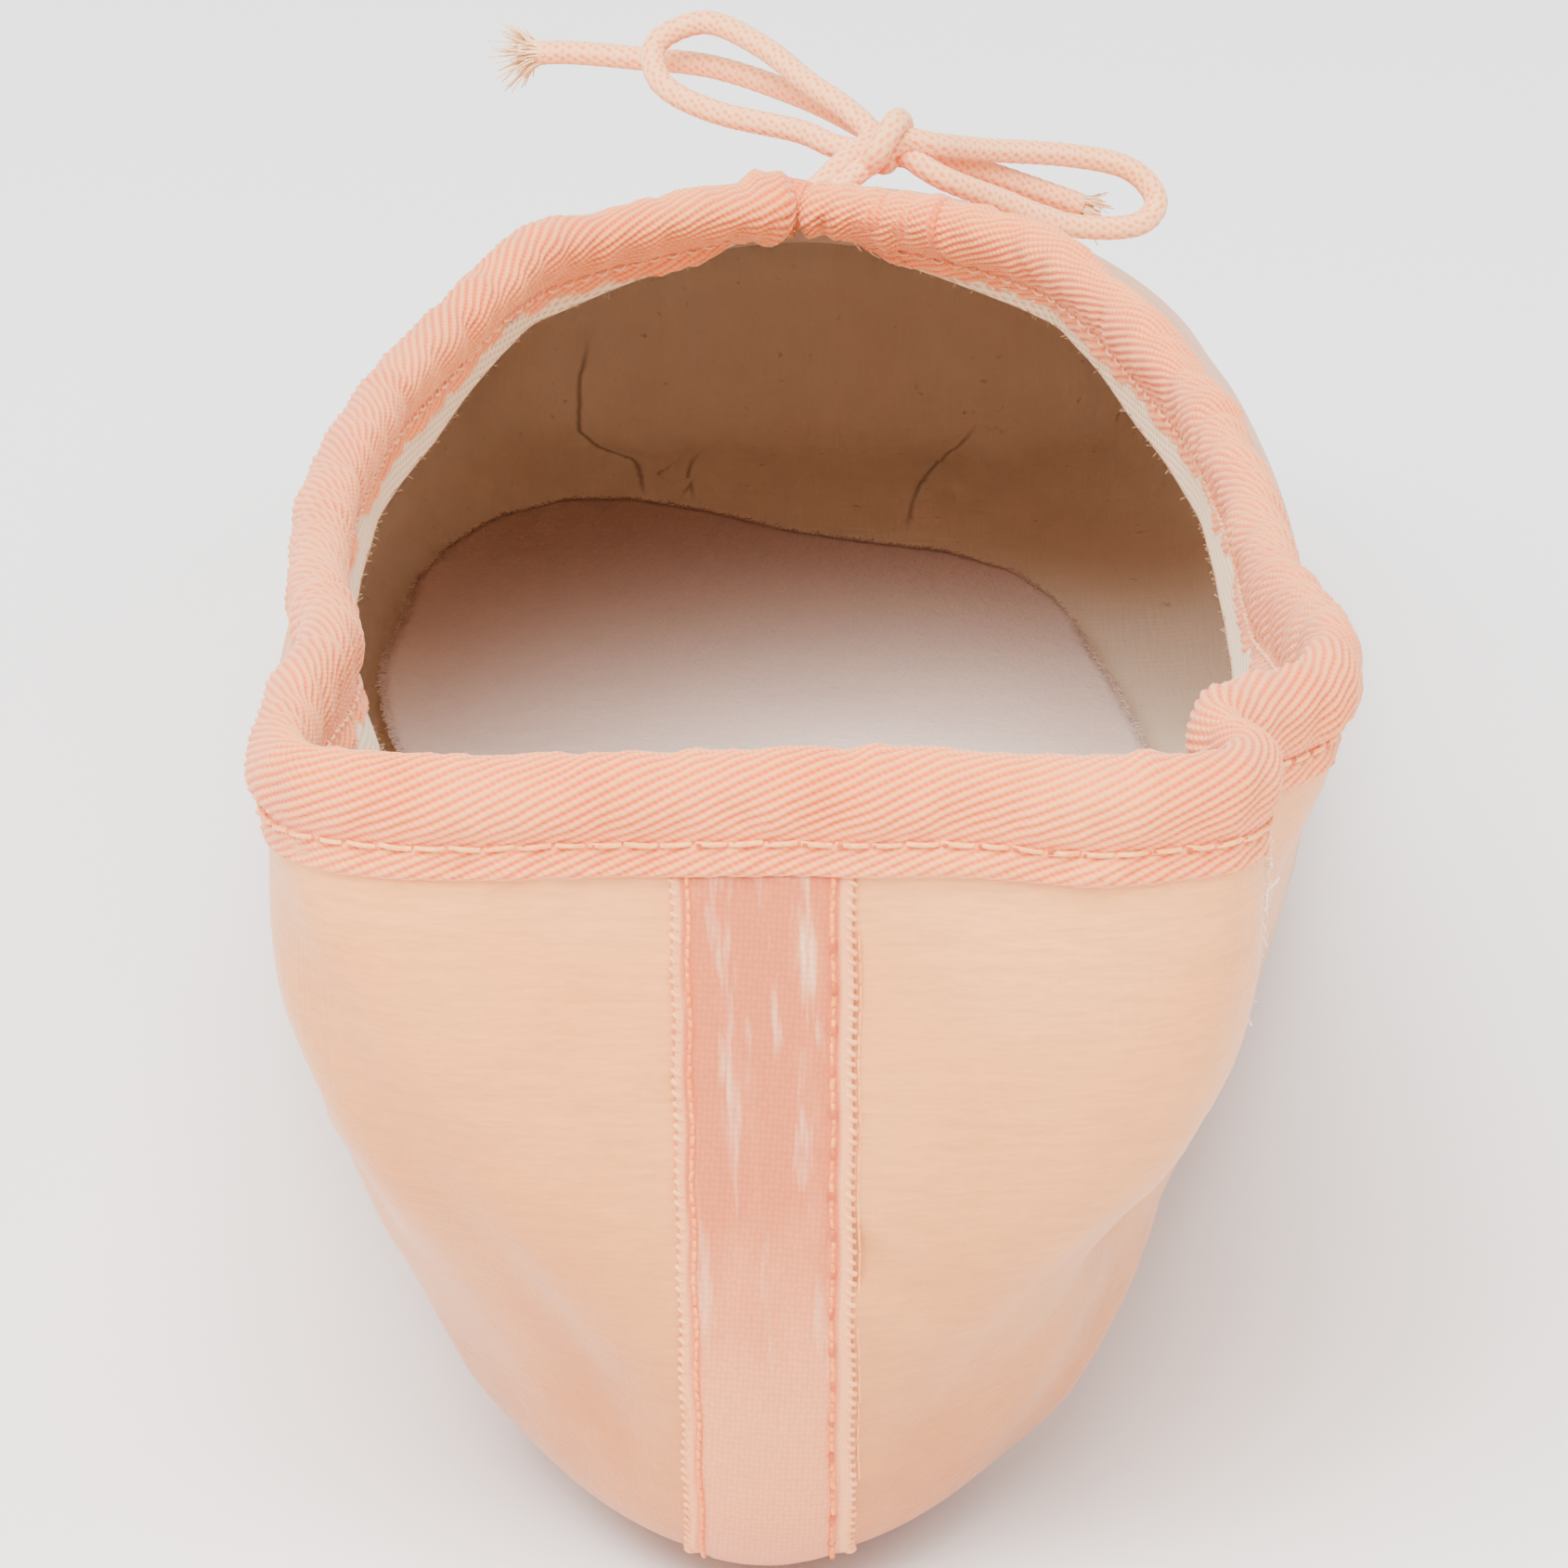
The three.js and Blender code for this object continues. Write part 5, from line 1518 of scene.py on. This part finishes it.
def frayed_end(name, line, seed, strands, reach, spread):
    """Loose yarns that splay from the cut end of a cord, as one piece."""
    random = np.random.default_rng(seed)
    across, up, ahead = carried_frames(line)
    end, out_x, out_y, out = line[-1], across[-1], up[-1], ahead[-1]
    points, faces = [], []
    for _ in range(strands):
        turn = random.uniform(0, 2 * math.pi)
        start_radius = CORD_DIAMETER / 2 * math.sqrt(random.uniform(0, 0.85))
        length = reach * random.uniform(0.45, 1.0)
        splay = spread * random.uniform(0.1, 1.0)
        curl = random.normal(0, 0.5, 3)
        radial = out_x * math.cos(turn) + out_y * math.sin(turn)
        spine = []
        for t in np.linspace(0, 1, 6):
            place = end - out * 0.6 + radial * (start_radius + splay * t * t) + out * (length * t + 0.6 * t)
            spine.append(place + curl * t * t + np.array([0, 0, -0.35]) * t * t)
        spine = np.array(spine)
        one, two, _ = carried_frames(spine)
        thick = random.uniform(0.09, 0.16)
        first = len(points)
        for t, centre, a, b in zip(np.linspace(0, 1, 6), spine, one, two):
            for corner in (0, 2.094, 4.189):
                aside = a * math.cos(corner) + b * math.sin(corner)
                points.append(centre + aside * thick * (1 - 0.6 * t))
        for ring in range(5):
            for corner in range(3):
                a, b = first + ring * 3 + corner, first + ring * 3 + (corner + 1) % 3
                faces.append([a, b, b + 3, a + 3])
        faces.append([first + 2, first + 1, first])
        faces.append([first + 15, first + 16, first + 17])
    return weld(name, np.array(points), faces, raw_thread)


left_cord, left_line, left_length = braided_cord("drawstring_left", LEFT_LOOP_CORD, CORD_DIAMETER)
right_cord, right_line, right_length = braided_cord("drawstring_right", RIGHT_LOOP_CORD, CORD_DIAMETER)
short_fray = frayed_end("short_frayed_end", left_line, 11, strands=90, reach=1.7, spread=0.8)
long_fray = frayed_end("long_frayed_end", right_line, 12, strands=170, reach=2.7, spread=1.5)

# The knot: one cord goes round the other once, over the crossing.
KNOT_TURN = [
    (5.4, 28.8, 57.0), (5.6, 27.4, 57.4), (6.2, 26.7, 58.6), (7.1, 27.5, 60.0), (7.7, 29.3, 60.2),
    (7.9, 30.5, 59.1), (7.4, 30.4, 57.8), (6.8, 29.3, 57.0), (6.3, 27.9, 57.4),
]
knot, _, _ = braided_cord("bow_knot_turn", KNOT_TURN, CORD_DIAMETER * 1.05)
for piece in (left_cord, right_cord, short_fray, long_fray, knot):
    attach(piece, "root")
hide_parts("bow_loop_left", "bow_end_right")
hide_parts("bow_loop_right", "bow_end_left")
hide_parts("bow_knot")


# ---- outsole ----
# A waisted leather sole, glued and stitched in a groove, smaller than the shoe's footprint.
# The flesh side is down, buffed, a little darker and compressed along its cut edge.

OUTSOLE_THICKNESS = 2.7
SOLE_ROUNDING = 0.7
SOLE_GROOVE_INSET = 3.2
SOLE_COLUMNS = 41


def sole_rows():
    turns = np.linspace(0.04, 1, 15) * math.pi / 2
    runs = np.concatenate([
        SOLE_BACK - SOLE_BACK_REACH * np.cos(turns)[:-1], np.linspace(SOLE_BACK, SOLE_FRONT, 100),
        (SOLE_FRONT + SOLE_FRONT_REACH * np.cos(turns))[::-1][1:],
    ])
    across = np.sin(np.linspace(-math.pi / 2, math.pi / 2, SOLE_COLUMNS))
    low_rows, top_rows = [], []
    for run in runs:
        half = sole_half_width(run)
        top = float(half_section(max(run, HEEL_AXIS), FLOOR_WEIGHTS[:1])[0, 1]) - GAP
        x = across * half
        ends = min(run - (SOLE_BACK - SOLE_BACK_REACH), SOLE_FRONT + SOLE_FRONT_REACH - run)
        from_edge = np.minimum(half - np.abs(x), ends)
        rounded = SOLE_ROUNDING * np.exp(-from_edge / 0.45)
        groove = 0.35 * np.exp(-(((from_edge - SOLE_GROOVE_INSET) / 0.55) ** 2))
        y = np.full(SOLE_COLUMNS, run - MIDDLE)
        low_rows.append(np.column_stack([x, y, top - OUTSOLE_THICKNESS + rounded + groove]))
        top_rows.append(np.column_stack([x, y, top - 0.4 * np.exp(-from_edge / 0.3)]))
    return np.array(low_rows), np.array(top_rows)


SOLE_BUFF, SOLE_TAN, SOLE_DARK = linear(214, 178, 138), linear(186, 144, 102), linear(120, 84, 56)
leather, tree, shader = new_finish("sole_leather", Specular_IOR_Level=0.3)
spot = add_node(tree, "ShaderNodeTexCoord").outputs["Object"]
broad = patches(tree, spot, 30.0, 5.0, Roughness=0.6)
ramp = colours(tree, broad, (0.3, SOLE_TAN), (0.7, SOLE_BUFF))
scuff_place = stretched(tree, spot, (500.0, 90.0, 500.0))
scuffs = patches(tree, scuff_place, 1.0, 4.0, Roughness=0.7)
scuffs_and_crease_shade = rescale(tree, scuffs, 0.56, 0.72, 0.0, 0.5)
scuffed = blend(tree, scuffs_and_crease_shade, ramp, SOLE_DARK)
tree.links.new(scuffed, shader.inputs["Base Color"])
rough = rescale(tree, broad, 0.0, 1.0, 0.62, 0.85)
tree.links.new(rough, shader.inputs["Roughness"])
nap = patches(tree, spot, 1300.0, 3.0)
emboss(tree, shader, 0.45, 0.0003, nap)

sole_low, sole_top = sole_rows()
sole_faces, _ = pad_faces(*sole_low.shape[:2])
sole_points = np.vstack([sole_low.reshape(-1, 3), sole_top.reshape(-1, 3)])
outsole = weld("leather_outsole", sole_points, sole_faces, leather)
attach(outsole, "root")
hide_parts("outsole")

groove_line = []
for side in (1, -1):
    runs = np.linspace(SOLE_BACK - SOLE_BACK_REACH + 4.2, SOLE_FRONT + SOLE_FRONT_REACH - 4.2, 160)
    half_line = []
    for run in runs:
        half = max(0.0, sole_half_width(run) - SOLE_GROOVE_INSET)
        low = float(half_section(max(run, HEEL_AXIS), FLOOR_WEIGHTS[:1])[0, 1]) - GAP - OUTSOLE_THICKNESS
        half_line.append((side * half, run - MIDDLE, low + 0.32))
    groove_line.append((np.array(half_line), np.tile([0.0, 0, -1], (len(half_line), 1))))
lay_threads(
    "outsole_stitches", groove_line, raw_thread, "thread",
    spacing=3.0, length=2.6, thickness=0.5, arch=0.14, wander=0.05, uneven=0.06, seed=21,
)


# ---- loose fibres ----
# Fuzz on the felt's cut edge, the frayed lower edge of the canvas, loose yarns under the join
# at the throat, and the ravelled edge of a layer that shows at the right fold of the heel.

felt_up = np.tile([0.0, 0, 1], (len(felt_edge), 1))
lay_threads(
    "felt_fuzz", [(felt_edge + [0, 0, 0.05], felt_up)], felt, "sock_felt",
    spacing=0.22, length=0.62, thickness=0.08, arch=0.08, turn=1.5, wander=0.8, uneven=0.5,
    seed=31, steps=3, sides=3,
)
lay_threads(
    "canvas_fray", [(strip_low, strip_ways)], brown_thread, "lining",
    spacing=0.3, length=1.0, thickness=0.07, arch=0.1, turn=1.3, wander=1.1, uneven=0.6,
    seed=32, steps=4, sides=3,
)
throat_walk = np.linspace(0.5, 9.5, 24)
under_throat, throat_ways, _ = on_collar(throat_walk, np.full(24, -1.7), np.full(24, -4.6))
lay_threads(
    "throat_fray", [(under_throat, -throat_ways)], peach_thread, "thread",
    spacing=0.35, length=2.6, thickness=0.1, arch=0.3, turn=1.4, wander=0.9, uneven=0.6,
    seed=33, steps=5, sides=3,
)
corner_line = np.array([
    (31.9, -107.0, 53), (31.6, -106.8, 49), (31.0, -106.5, 45), (30.2, -106.2, 41),
])
corner_line, _ = smooth_line(corner_line, 60)
corner_ways = np.tile([0.75, -0.66, 0.0], (60, 1))
lay_threads(
    "corner_fray", [(corner_line, corner_ways)], white_thread, "thread",
    spacing=0.4, length=1.7, thickness=0.09, arch=0.22, turn=0.5, wander=0.9, uneven=0.6,
    seed=34, steps=5, sides=3,
)
